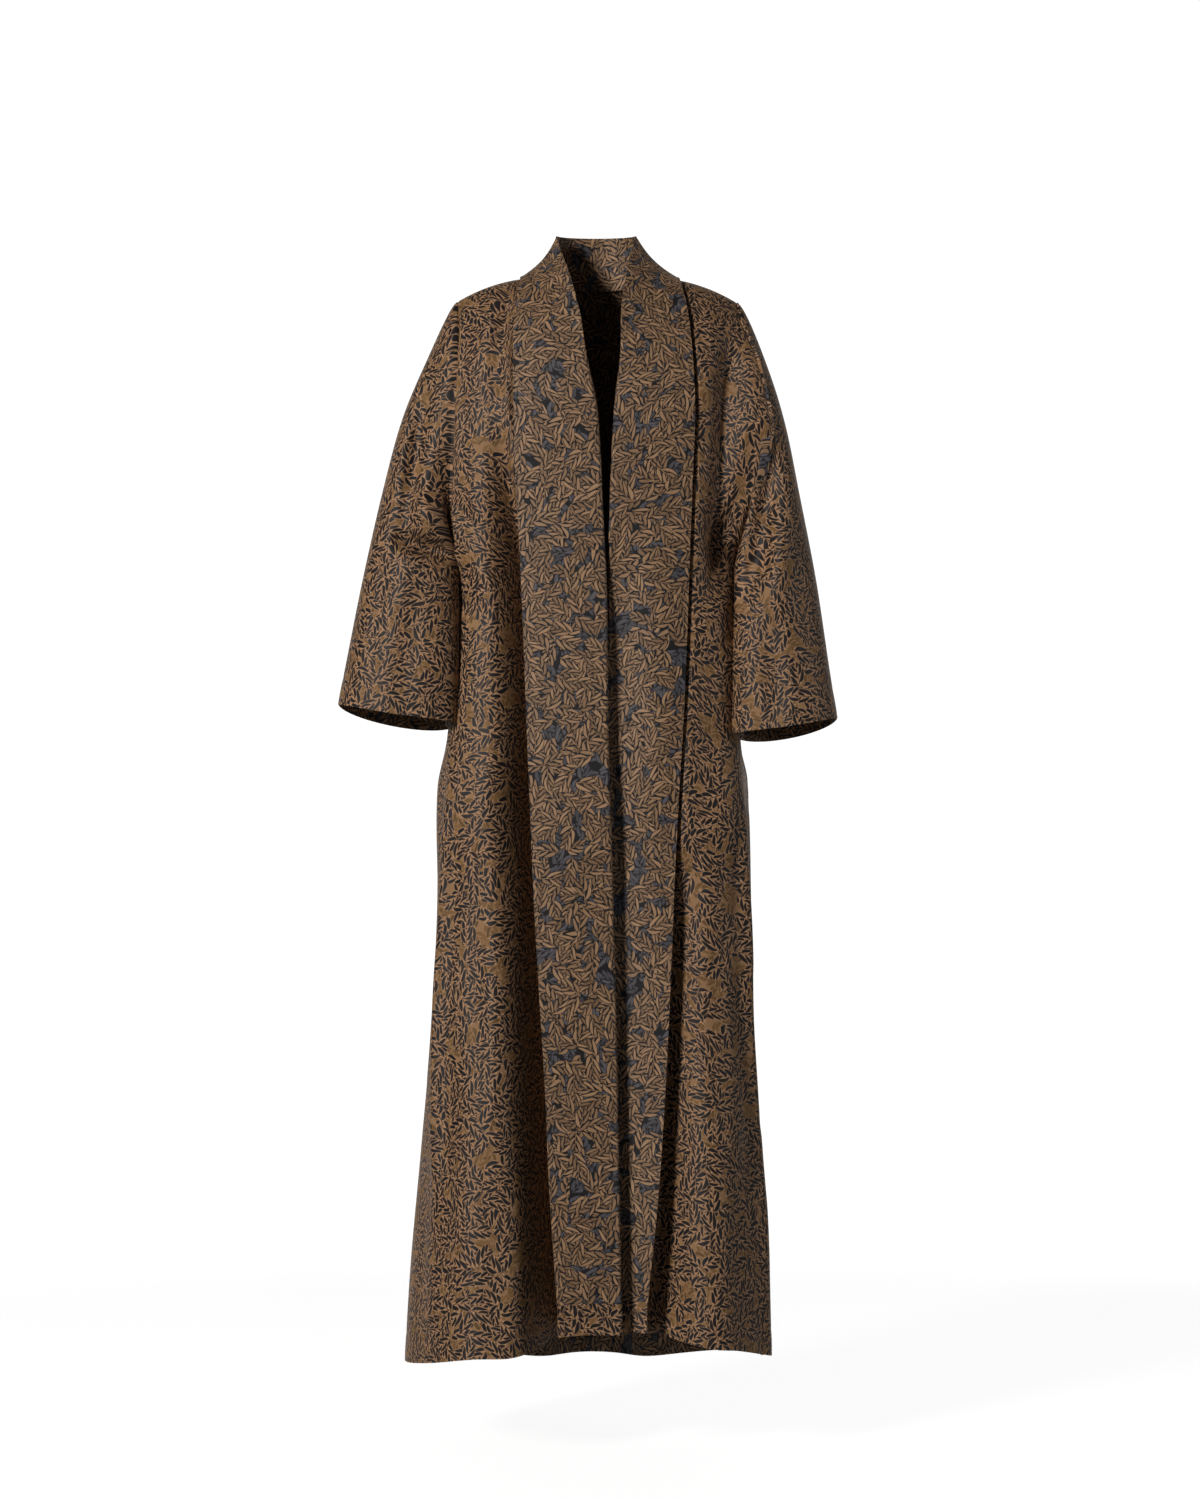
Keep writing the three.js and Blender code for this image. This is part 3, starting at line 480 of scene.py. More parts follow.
# %% [markdown]
# ## The front panels
#
# A front runs from the side seam to the opening, where it folds back on itself as the lapel. Its edge at
# the opening slants away to the neck. The lapel's own points come from the same rows, so that it lies on
# its panel everywhere, as the folded cloth does.

# %% Edges and hems of the fronts
EDGE = columns("z right_x left_x right_fold left_fold fold_y fold_z free", [
    (-8, -74, 74, -50, 50, 8, 53, 1),
    (-16, -67, 68, -42, 43, -22, 26, 1),
    (-34, -56, 60, -33, 37, -43, 1, 0.95),
    (-60, -42, 52, -23, 31, -66, -35, 0.8),
    (-110, -20, 38, -9, 26, -93, -98, 0.4),
    (-170, -3, 27, 0, 23, -108, -167, 0.1),
    (-230, 3, 23, 6, 20, -116, -230, 0),
    (-300, 6, 20, 9, 17, 0, -300, 0),
    (-430, 12, 17, 15, 14, 0, -430, 0),
    (-630, 14, 11, 17, 8, 0, -630, 0),
    (-830, 20, 6, 23, 3, 0, -830, 0),
    (-1090, 26, 2, 29, -1, 0, -1090, 0),
    (-1400, 32, -1, 35, -4, 0, -1400, 0),
])
LAPEL = tables("z x", right=[
    (-8, -99), (-77, -107), (-170, -107), (-280, -103), (-380, -98), (-565, -91), (-830, -80),
    (-960, -73), (-1090, -66), (-1225, -61), (-1400, -50),
], left=[
    (-8, 108), (-54, 118), (-106, 124), (-160, 127), (-215, 127), (-380, 121), (-565, 113), (-690, 108),
    (-920, 101), (-1020, 97), (-1147, 92), (-1270, 84), (-1400, 73),
])
HEM = tables("x z", right=[
    (-253, -1432), (-200, -1420), (-150, -1410), (-105, -1408), (-78, -1400), (-50, -1382), (50, -1382),
], left=[
    (-10, -1382), (95, -1382), (118, -1391), (145, -1400), (175, -1405), (205, -1416), (229, -1432),
], back=[
    (-253, -1432), (-140, -1450), (0, -1456), (130, -1450), (229, -1432),
])


def arm_x(which, z):
    return HAND[which] * read(BODY, "z", "arm_" + which, z)


def rows_between(edges, top_z, hem_z):
    """Places across and heights of every grid point between edges, each a function of height with its own
    shares of columns. The first edge is the side seam."""
    side = edges[0][0]
    level = mix(SIDE_HEM_Z, UNDERARM_Z, skirt_shares)
    skirt = [edge(level) for edge, _ in edges]
    chest = [edge(meet(edge, top_z, chest_shares)) for edge, _ in edges]
    at_edges = [np.concatenate([a, b]) for a, b in zip(skirt, chest)]
    x = np.concatenate(
        [mix(at_edges[k][:, None], at_edges[k + 1][:, None], shares[None, :])
         for k, (_, shares) in enumerate(edges[:-1])], axis=1)
    widen = (side(np.array([SIDE_HEM_Z])) / side(level))[:, None]
    low = x[: len(level)]
    z_low = mix(hem_z(low * widen), UNDERARM_Z, skirt_shares[:, None])
    high = x[len(level):]
    z_high = chest_z(top_z(high), chest_shares[:, None])
    return x, np.concatenate([z_low, z_high], axis=0)


OUT_COLUMNS, OUT_CROWD, UNDER_COLUMNS = 104, 1.45, 26


def crowded(count, power):
    """Shares from 0 to 1 that crowd together at 0."""
    return np.linspace(0, 1, count + 1) ** power


def front_grids(which):
    """The front panel's points and, column by column, the place of its lapel on it."""
    inner = lambda z: read(EDGE, "z", which + "_x", z)
    outer = lambda z: read(LAPEL[which], "z", "x", z)
    side = lambda z: arm_x(which, z)
    hem_z = lambda x: read(HEM[which], "x", "z", x)
    out_shares = crowded(OUT_COLUMNS, OUT_CROWD)[:-1]
    under_shares = np.linspace(0, 1, UNDER_COLUMNS + 1)
    x, z = rows_between([(side, out_shares), (outer, under_shares), (inner, None)], shoulder_z, hem_z)
    panel = body_points(-1, which, x, z)
    under = body_points(-1, which, x[:, OUT_COLUMNS:], z[:, OUT_COLUMNS:], with_loose=False)
    return panel, under


CHANNEL_IN, CHANNEL_REACH, CHANNEL_FADE = 6.5, 5.5, 60


def lapel_channel(panel, which):
    """Draws the panel in beside the lapel's edge, which lifts off it there and throws a thin shadow."""
    across, up = arc_lengths(panel)
    away = across - across[:, OUT_COLUMNS, None]
    fade = ease((up[-1:] - up) / CHANNEL_FADE) * CHANNEL_IN
    depth = fade * np.exp(-((away / CHANNEL_REACH) ** 2))
    return panel + HAND[which] * depth[..., None] * grid_normals(panel)


SIDE_GAP, SIDE_CATCH = 0.25, 24
SIDE_COLUMN = {"right": 0, "left": -1}


def sewn_side(points, face, *ends):
    """Brings side edges of a panel to the middle plane, where the other panel meets them in the seam."""
    for end in ends:
        y = points[:, end, 1]
        points[:, end, 1] = np.where(np.abs(y) < SIDE_CATCH, face * SIDE_GAP, y)
    return points


fronts = {}
for which in ("right", "left"):
    panel, under = front_grids(which)
    panel = lapel_channel(panel, which)
    if which == "left":
        panel = panel[:, ::-1]
    normals = grid_normals(panel)
    seam = "first" if which == "right" else "last"
    shaped = turned_hem(seam_groove(panel, normals, seam, "top"), normals)
    shaped = sewn_side(shaped, -1, SIDE_COLUMN[which])
    fronts[which] = {"under": under, "panel": shaped}
    across, up = arc_lengths(panel)
    from_opening = across - across[:, -1:] if which == "right" else across
    cut_piece(f"front_{which}_cloth", shaped, (from_opening, up))

# %% [markdown]
# ## The lapels
#
# The lapel's section is a flap behind the panel's edge, the fold, and the fall that lies on the panel.
# Towards the neck the fold climbs away from the panel and becomes a standing collar. The corners of each
# section are then softened along its length: little where the fold is pressed flat, and much round the
# neck, where the cloth rolls over. Subdivision would round both alike, so it isn't used here.

# %% Sections of the lapels
STAND_STEPS = 3
FLAP_WIDTH, FLAP_OUT, FLAP_TUCK, FLAP_DROP = 14, 0.35, 2, 5
FALL_SAG, SAG_SHARE, ROLL_STEP = 7, 0.7, 0.6
FOLD_LIFT, FALL_LIFT = 1.4, 1.2
PRESSED, ROLLED, END_CRISP = 0.9, 6.5, 2.5
STAND_COLUMNS, FALL_COLUMNS, FOLD_CROWD = 22, 62, 1.7


def unit(v):
    return v / np.maximum(np.linalg.norm(v, axis=-1, keepdims=True), 1e-9)


def lapel_sections(which):
    """Control points of a lapel, row by row, from the flap to the free edge, and how free each row is."""
    under, hand = fronts[which]["under"], HAND[which]
    count = under.shape[1] - 1
    normal = grid_normals(under) * (1 if which == "right" else -1)
    edge_point, out = under[:, count], normal[:, count]
    values = {name: read(EDGE, "z", name, edge_point[:, 2]) for name in EDGE}
    free = np.clip(values["free"], 0, 1)[:, None]
    inward = unit(under[:, count - 1] - edge_point)
    resting_fold = edge_point - inward * (LAP + CLOTH) - out * CLOTH / 2
    raised_fold = np.stack([values[which + "_fold"], values["fold_y"], values["fold_z"]], -1)
    fold = mix(resting_fold, raised_fold, ease(free * FOLD_LIFT))
    behind = edge_point - out * (2 * CLOTH + LAP)
    flap_end = behind + inward * mix(FLAP_WIDTH, -FLAP_TUCK, ease(free / FLAP_OUT))
    flap_end = flap_end - free * np.array([0, 0, FLAP_DROP])
    turn = behind - inward * LAP / 2
    standing_share = ease((free - FLAP_OUT) / (1 - FLAP_OUT))
    points = [flap_end]
    for k in range(1, STAND_STEPS):
        resting = mix(flap_end, turn, k / (STAND_STEPS - 1))
        points.append(mix(resting, mix(flap_end, fold, k / STAND_STEPS), standing_share))
    points.append(fold)
    thick = LAP + CLOTH
    outer = under[:, 0] + normal[:, 0] * thick
    for j in range(count, -1, -1):
        resting = under[:, j] + normal[:, j] * thick
        share = (count - j + ROLL_STEP) / (count + ROLL_STEP)
        sag = FALL_SAG * math.sin(math.pi * share) * SAG_SHARE
        p = mix(resting, mix(fold, outer, share) + np.array([-hand * sag, 0, -sag]), ease(free * FALL_LIFT))
        short = (thick + LAP - np.sum((p - under[:, j]) * normal[:, j], -1))[:, None]
        reach = np.linalg.norm(p - under[:, j], axis=-1, keepdims=True)
        points.append(p + normal[:, j] * np.where((free > 0) & (short > 0), np.minimum(short, reach), 0))
    return np.stack(points, 1), free[:, 0]


def soften(section, fold_index, softness):
    """Samples one section afresh, finely by the fold, and averages it over the softness each way. Its ends
    stay crisp."""
    steps = np.linalg.norm(np.diff(section, axis=0), axis=-1)
    along = np.concatenate([[0], np.cumsum(steps)])
    fold = along[fold_index]
    stand = fold * (1 - crowded(STAND_COLUMNS, FOLD_CROWD)[::-1])
    fall = fold + (along[-1] - fold) * crowded(FALL_COLUMNS, FOLD_CROWD)[1:]
    places = np.concatenate([stand, fall])
    points = np.stack([np.interp(places, along, section[:, k]) for k in range(3)], -1)
    reach = np.minimum(softness, np.minimum(places, places[-1] - places) / END_CRISP)[:, None] + 1e-6
    weights = np.exp(-0.5 * ((places[:, None] - places[None, :]) / reach) ** 2) * np.gradient(places)[None, :]
    return (weights / weights.sum(1, keepdims=True)) @ points


lapels = {}
for which in ("right", "left"):
    sections, free = lapel_sections(which)
    softness = mix(PRESSED, ROLLED, ease(free * FALL_LIFT))
    points = np.stack([soften(s, STAND_STEPS, size) for s, size in zip(sections, softness)])
    lapels[which] = {"sections": sections, "points": points}
    across, up = arc_lengths(points)
    outwards = (lambda grid: grid[:, ::-1]) if which == "right" else (lambda grid: grid)
    cut_piece(f"lapel_{which}_cloth", outwards(points), (outwards(across) * HAND[which], outwards(up)))

# %% [markdown]
# ## The collar behind the neck
#
# The two lapels meet behind the neck as one rolled collar. Its sections swing round the nape from one
# shoulder to the other, from the lapel's own last section to its mirror, so the roll runs on unbroken.

# %% The collar
CREST_Y, CREST_Z, HEM_Y, HEM_DROP, HEM_RISE = 66, 57, 80, 34, 1.5
BASE_SHARE, BASE_INSIDE, BASE_BELOW, BASE_HOLD = 0.955, 3.2, 6, 6
COLLAR_STEP, COLLAR_BULGE, CORNER_LAG = 0.4, 5, 0.9
COLLAR_ROWS, JOIN_START, JOIN_RISE = 90, 0.9, 0.1


def collar_section(angle, ends):
    """Control points of the collar at an angle round the neck, from its base to its free edge."""
    swing, deep = abs(math.cos(angle)), math.sin(angle)
    which = "right" if math.cos(angle) >= 0 else "left"
    hand, side = HAND[which], ends[which]
    neck_x = np.array([hand * NECK_X * swing * BASE_SHARE])
    neck_z = neckline_z(neck_x)
    neck_y = body_points(1, "back", neck_x, neck_z, fine=False)[0][1]
    base = np.array([neck_x[0], neck_y - BASE_INSIDE, neck_z[0] - BASE_BELOW])
    base = mix(base, side[0], swing**BASE_HOLD)
    fold, end = side[STAND_STEPS], side[-1]
    crest = np.array([fold[0] * swing, mix(CREST_Y, fold[1], 1 - deep), mix(CREST_Z, fold[2], 1 - deep)])
    hem_z = end[2] + HEM_RISE * deep - HEM_DROP * deep**2
    hem = np.array([end[0] * swing**CORNER_LAG, mix(end[1], HEM_Y, deep), hem_z])
    points = [mix(base, crest, k / STAND_STEPS) for k in range(STAND_STEPS)] + [crest]
    falls = len(side) - len(points)
    for k in range(1, falls + 1):
        share = (k - COLLAR_STEP) / (falls - COLLAR_STEP)
        arch = math.sin(math.pi * share)
        sag = FALL_SAG * arch * swing**2 * SAG_SHARE
        points.append(mix(crest, hem, share) + np.array([-hand * sag, COLLAR_BULGE * arch * deep, -sag]))
    return mix(np.stack(points), side, ease((swing - JOIN_START) / JOIN_RISE))


ends = {which: lapels[which]["sections"][-1] for which in lapels}
angles = np.linspace(0, math.pi, COLLAR_ROWS + 1)
collar = np.stack([soften(collar_section(angle, ends), STAND_STEPS, ROLLED) for angle in angles])
collar[0], collar[-1] = lapels["right"]["points"][-1], lapels["left"]["points"][-1]
cut_piece("collar_cloth", collar, arc_lengths(collar), flip=True)

# %% [markdown]
# ## The back panel
#
# The back is cut in one and hangs from the shoulders in soft folds, with a dip at the neckline. Its folds
# are like those of the fronts, no two alike. From hem to underarm its edges are the edges of the fronts,
# so that the side seams are closed.

# %% The back
BACK_COLUMNS, BACK_CROWD = 176, 0.75


def back_grid():
    """The back panel's points, from its left side seam to its right one."""
    even = np.linspace(0, 1, BACK_COLUMNS + 1)
    shares = mix(even, (1 - np.cos(np.pi * even)) / 2, BACK_CROWD)
    left, right = (lambda z: arm_x("left", z)), (lambda z: arm_x("right", z))
    x, z = rows_between([(left, shares), (right, None)], neckline_z, lambda x: read(HEM["back"], "x", "z", x))
    return body_points(1, "back", x, z)


back = back_grid()
back_shaped = turned_hem(seam_groove(back, grid_normals(back), "first", "last", "top"), grid_normals(back))
for end, which in ((0, "left"), (-1, "right")):
    back_shaped[: SKIRT_ROWS + 1, end] = fronts[which]["panel"][: SKIRT_ROWS + 1, SIDE_COLUMN[which]]
back_shaped = sewn_side(back_shaped, 1, 0, -1)
across, up = arc_lengths(back)
cut_piece("back_cloth", back_shaped, (across - across[:, -1:] / 2, up))

# %% [markdown]
# ## The sleeves
#
# A sleeve is a tube from the armhole to the cuff. Its rings tilt: the outside of the arm drops from the
# shoulder while the underarm stays high. It has to start on the armhole's own loop, and keep just clear of
# the body all the way down.

# %% The sleeves
SLEEVE_NAMES = "t out_x out_z in_x in_z front back"
SLEEVE = tables(SLEEVE_NAMES, right=[
    (0, 186, -39, 189.5, -381, -58, 56),
    (0.08, 200, -60, 190, -388, -63, 60),
    (0.2, 224, -117, 191, -402, -69, 64),
    (0.38, 256, -197, 188, -430, -80, 62),
    (0.56, 281, -292, 186, -466, -91, 54),
    (0.75, 306, -405, 185, -514, -101, 44),
    (0.9, 327, -512, 185, -566, -105, 36),
    (1, 338, -571, 186, -597, -107, 30),
], left=[
    (0, 186, -41, 195, -381, -56, 56),
    (0.08, 203, -62, 195, -388, -62, 60),
    (0.2, 224, -118, 194, -403, -69, 64),
    (0.38, 249, -202, 189, -433, -80, 62),
    (0.56, 268, -298, 187, -472, -91, 54),
    (0.75, 289, -410, 184, -524, -101, 44),
    (0.9, 306, -525, 183, -580, -105, 36),
    (1, 316, -589, 183, -611, -107, 30),
])
SLEEVE_CREASES = tables(CREASE_NAMES, right_front=[
    (223, -140, 250, -352, 0, 10, -13),
    (254, -358, 188, -378, 0, 8, -17),
    (238, -300, 200, -345, 0, 13, 8),
    (270, -300, 300, -520, 5, 11, -3),
    (230, -420, 250, -580, -4, 12, -3),
    (300, -430, 318, -560, 3, 10, 2.5),
], right_back=[
    (226, -150, 244, -350, 0, 14, -12),
    (250, -362, 205, -388, 0, 11, -12),
    (280, -330, 300, -540, 5, 12, -3),
    (230, -430, 240, -580, -4, 12, 3),
], left_front=[
    (232, -240, 214, -375, 0, 12, -12),
    (214, -375, 196, -430, 0, 12, -10),
    (250, -330, 226, -440, 0, 16, 6),
    (262, -330, 282, -540, 4, 11, -3),
    (222, -460, 232, -600, -4, 11, -3),
], left_back=[
    (222, -150, 238, -350, 0, 14, -12),
    (240, -362, 200, -388, 0, 11, -12),
    (262, -330, 280, -540, 4, 12, -3),
    (222, -440, 230, -590, -4, 12, 3),
])
ARM_SEAM, ARM_CLEAR = 0.3, 2.6
TUCKS, TUCK_STEP, TUCK_IN = 3, 2.5, 1.7
SLEEVE_OWN, CREASE_RISE, CLEAR_RISE, SLEEVE_SQUARE = 0.3, 0.12, 0.1, 0.9
BESIDE_START, BESIDE_RISE = 0.13, 0.2
SLEEVE_LEAN, HEAD_BLEND = 32, 90
SLEEVE_RIPPLE, RIPPLE_SHIFT, EDGE_FADE = 0.8, 300, 0.5
CUFF_DROP, CUFF_DROP_START = 17, 0.7
SLEEVE_RING, SLEEVE_ROWS = 168, 150


def clear_of_body(which, points, gap, beside):
    """Moves a sleeve's points sideways where they would reach into the body. Beyond the armhole (beside 1)
    the body is as wide as its section is at each point's own depth."""
    hand = HAND[which]
    z = np.minimum(points[..., 2], shoulder_z(TIP_X) - 1)
    edge = np.abs(arm_x(which, z))
    short = np.zeros_like(z)
    for face, folds in ((-1, which), (1, "back")):
        at_edge = np.abs(body_points(face, folds, hand * edge, z)[..., 0])
        depth = depth_at(face, shoulder_z(edge) - z, z)
        share = np.minimum(1, np.abs(points[..., 1]) / np.maximum(depth, 1))
        here = edge * oval(share)
        at_point = np.maximum(here, np.abs(body_points(face, folds, hand * here, z)[..., 0]))
        reach = mix(at_edge, at_point, beside) + gap - hand * points[..., 0]
        short = np.where((points[..., 1] < 0) == (face < 0), reach, short)
    points[..., 0] += hand * np.maximum(short, 0)


def sleeve_grid(which):
    """Rings from the armhole to the cuff, starting and ending at the underarm."""
    hand = HAND[which]
    t = np.linspace(0, 1, SLEEVE_ROWS + 1)[:, None]
    angle = np.pi + np.linspace(0, 2 * np.pi, SLEEVE_RING + 1)[None, :]
    c, s = np.cos(angle), np.sin(angle) * np.ones_like(t)
    s[np.abs(s) < 1e-9] = 0
    at = {name: read(SLEEVE[which], "t", name, t) for name in SLEEVE[which]}
    beside = ease((t - BESIDE_START) / BESIDE_RISE)
    lean = SLEEVE_LEAN * np.maximum(0, s) * np.maximum(0, -c) * beside
    x = mix(at["in_x"], at["out_x"], (1 + c) / 2) - lean
    z = mix(at["in_z"], at["out_z"], (1 + c) / 2)
    middle, reach = (at["front"] + at["back"]) / 2, (at["back"] - at["front"]) / 2
    front, back = (crease_out(SLEEVE_CREASES[f"{which}_{face}"], x, z) for face in ("front", "back"))
    out = np.where(s > 0, front, back) + SLEEVE_RIPPLE * ripple_out(x + RIPPLE_SHIFT, z)
    out = out * ease(np.abs(s) / EDGE_FADE) * ease(t / CREASE_RISE)
    y = middle - (reach + out) * np.sign(s) * np.abs(s) ** SLEEVE_SQUARE
    drop = CUFF_DROP * ease((t - CUFF_DROP_START) / (1 - CUFF_DROP_START)) * np.maximum(0, -s)
    free = np.stack([hand * x, y, z - drop], -1)

    loop_z = mix(UNDERARM_Z, shoulder_z(TIP_X), (1 + c[0]) / 2)
    loop_x = arm_x(which, loop_z)
    in_front, behind = body_points(-1, which, loop_x, loop_z), body_points(1, "back", loop_x, loop_z)
    loop = np.where((s[0] >= 0)[:, None], in_front, behind)
    loop[s[0] == 0, 1] = 0
    loop[:, 0] += hand * ARM_SEAM
    own = np.clip(t / SLEEVE_OWN, 0, 1)
    points = mix(loop[None], free, (own * (2 - own))[..., None])

    gap = ARM_SEAM + ARM_CLEAR * ease(t / CLEAR_RISE)
    clear_of_body(which, points, gap, beside)
    middle_of_arm = (loop[0] + loop[SLEEVE_RING // 2]) / 2
    inward = unit((middle_of_arm - loop) * np.array([0, 1, 1]))
    tucks = [loop + inward * TUCK_IN - np.array([hand * TUCK_STEP * k, 0, 0]) for k in range(TUCKS, 0, -1)]
    points = np.concatenate([np.stack(tucks), points])
    points[:, -1] = points[:, 0]
    return points


def sleeve_flat(points):
    """Flat distances on a sleeve: round the arm from its outside, and down the arm. Its outside curves into
    the shoulder, so the distances round the arm are shifted there by as much as it leaves a straight line."""
    axis = unit(points[-1].mean(0) - points[TUCKS].mean(0))
    steps = np.diff(points, axis=1, prepend=points[:, :1])
    steps = steps - (steps @ axis)[..., None] * axis
    around = np.cumsum(np.linalg.norm(steps, axis=-1), axis=1)
    around = around - around[:, SLEEVE_RING // 2, None]
    outside = points[:, SLEEVE_RING // 2]
    across_arm = unit(np.cross(axis, (0, 1, 0)))
    outwards = across_arm * np.sign(across_arm[0] * points[0, 0, 0])
    bend = ((outside - outside[-1]) @ outwards)[:, None]
    return around - np.sign(around) * bend * ease(np.abs(around) / HEAD_BLEND), -(points @ axis)


for which in ("right", "left"):
    points = sleeve_grid(which)
    outwards = grid_normals(points, closed=True) * HAND[which]
    shaped = seam_groove(points, outwards, "first", "last")
    shaped = turned_hem(shaped[::-1], outwards[::-1])[::-1]
    shaped[:, -1] = shaped[:, 0]
    around, up = sleeve_flat(points)
    cut_piece(f"sleeve_{which}_cloth", shaped, (around * HAND[which], up), closed=True, flip=which == "right")

# %% [markdown]
# ## Turned-up hems
#
# The foot of each lapel is turned up over its own front, so a strip of the face shows there, and inside
# the back the hem is turned up in the same way. Each strip is made from its panel's own points, moved out.

# %% The turned-up hems
STRIP_CLOTH, STRIP_OUT = 0.8, 0.95
STRIP_COLUMNS, STRIP_INSET = FALL_COLUMNS - 3, 2


def hem_strip(name, points, columns_kept, moved):
    """A strip along the foot of a piece, lying on its outer face, or inside it if moved is negative."""
    _, up = arc_lengths(points)
    rows = int(np.argmax(np.median(up, axis=1) > HEM_TURN)) + 1
    strip = (points + grid_normals(points) * moved)[:rows, columns_kept]
    cut_piece(name, strip, arc_lengths(strip), thickness=STRIP_CLOTH)


hem_strip("lapel_hem_right_cloth", lapels["right"]["points"][:, ::-1], slice(STRIP_COLUMNS), STRIP_OUT)
hem_strip("lapel_hem_left_cloth", lapels["left"]["points"], slice(-STRIP_COLUMNS, None), STRIP_OUT)
inside = -(CLOTH + STRIP_OUT - STRIP_CLOTH)
hem_strip("back_hem_cloth", back_shaped, slice(STRIP_INSET, -STRIP_INSET), inside)

# %% [markdown]
# ## Sums on shader sockets
#
# A leaf pattern takes many sums. They could be wired by hand in the shader editor, but a hundred Math nodes
# are hard to read there. A small class wraps a socket instead, so that an ordinary Python sum adds the nodes
# that work it out. Every other node comes from one method.

# %% A socket that does sums
class Value:
    """An output socket of a material. Sums on it add the Math nodes that work them out."""

    def __init__(self, graph, socket):
        self.graph, self.socket = graph, socket

    def also(self, output):
        """Another output of the same node."""
        return Value(self.graph, self.socket.node.outputs[output])

    def __add__(self, other):
        return self.graph.math("ADD", self, other)

    def __sub__(self, other):
        return self.graph.math("SUBTRACT", self, other)

    def __rsub__(self, other):
        return self.graph.math("SUBTRACT", other, self)

    def __mul__(self, other):
        return self.graph.math("MULTIPLY", self, other)

    def __truediv__(self, other):
        return self.graph.math("DIVIDE", self, other)

    def __gt__(self, other):
        return self.graph.math("GREATER_THAN", self, other)

    def __neg__(self):
        return self * -1

    __rmul__ = __mul__


class Graph:
    """The nodes of one material or world."""

    def __init__(self, tree):
        self.tree = tree
        tree.nodes.clear()

    def node(self, kind, inputs=None, output=0, **settings):
        """Adds a shader node, makes its settings, then sets or links its inputs."""
        made = self.tree.nodes.new("ShaderNode" + kind)
        for name, value in settings.items():
            setattr(made, name, value)
        for name, value in (inputs or {}).items():
            if isinstance(value, Value):
                self.tree.links.new(value.socket, made.inputs[name])
            else:
                made.inputs[name].default_value = value
        return Value(self, made.outputs[output]) if len(made.outputs) else None

    def math(self, operation, *values):
        return self.node("Math", dict(enumerate(values)), operation=operation)

    def vector(self, operation, *values):
        return self.node("VectorMath", dict(enumerate(values)), operation=operation)

    def step(self, value, low, high):
        """0 below low, 1 above high, and a soft rise between."""
        inputs = {"Value": value, "From Min": low, "From Max": high}
        return self.node("MapRange", inputs, interpolation_type="SMOOTHSTEP")

    def blend(self, share, first, second):
        """A colour between two, each given as a link or as red, green and blue."""
        whole = [c if isinstance(c, Value) else (*c, 1) for c in (first, second)]
        inputs = {0: share, 6: whole[0], 7: whole[1]}
        return self.node("Mix", inputs, output=2, data_type="RGBA")


def new_material(name):
    """An empty material, and the graph of its nodes."""
    material = bpy.data.materials.new(name)
    material.use_nodes = True
    return material, Graph(material.node_tree)


def colour(*levels):
    """Red, green and blue as they are read off a screen, from 0 to 255, as the shader wants them."""
    shares = [level / 255 for level in levels]
    return tuple(c / 12.92 if c <= 10 / 255 else ((c + 0.055) / 1.055) ** 2.4 for c in shares)


print("a mid grey is", round(colour(128, 128, 128)[0], 3), "to the shader")

# %% [markdown]
# ## The leaf figure
#
# The cloth is woven with leafy sprigs strewn over it, the dark weft on the face and its counterpart on the
# reverse. An image would be the usual way. Here the sprigs are worked out: a Voronoi texture strews cells,
# each cell is turned its own way, and in it the leaves of one sprig lean off a bowed stem. Measured in real
# millimetres on the cut cloth, they keep their size and follow every fold.
#
# The sprigs are a plain herringbone of lens-shaped leaves, a general leaf pattern of the same colours and
# scale as the cloth that is copied, and not its drawing.

# %% Sprigs of leaves
LEAF = {"length": 21, "pitch": 9.2, "lean": math.radians(37), "curl": 0.026, "least": 0.65, "spread": 0.55}
STEM_HALF, STEM_REACH, STEM_SHOWN, STEM_BEND, FAN = 0.35, 22, 0.85, 0.03, 0.024
STREWN, CELL_REACH, CELL_GAP = 0.8, 0.8, 0.2
CHANCE_SPREAD, BARE_ACROSS, LEFT_OUT = 40, 24, 9


def noise(graph, at, across, detail, output=0):
    """Soft patches about as wide as across, in the same units as the places."""
    inputs = {"Vector": at, "Scale": 1 / across, "Detail": detail}
    return graph.node("TexNoise", inputs, output, noise_dimensions="2D")


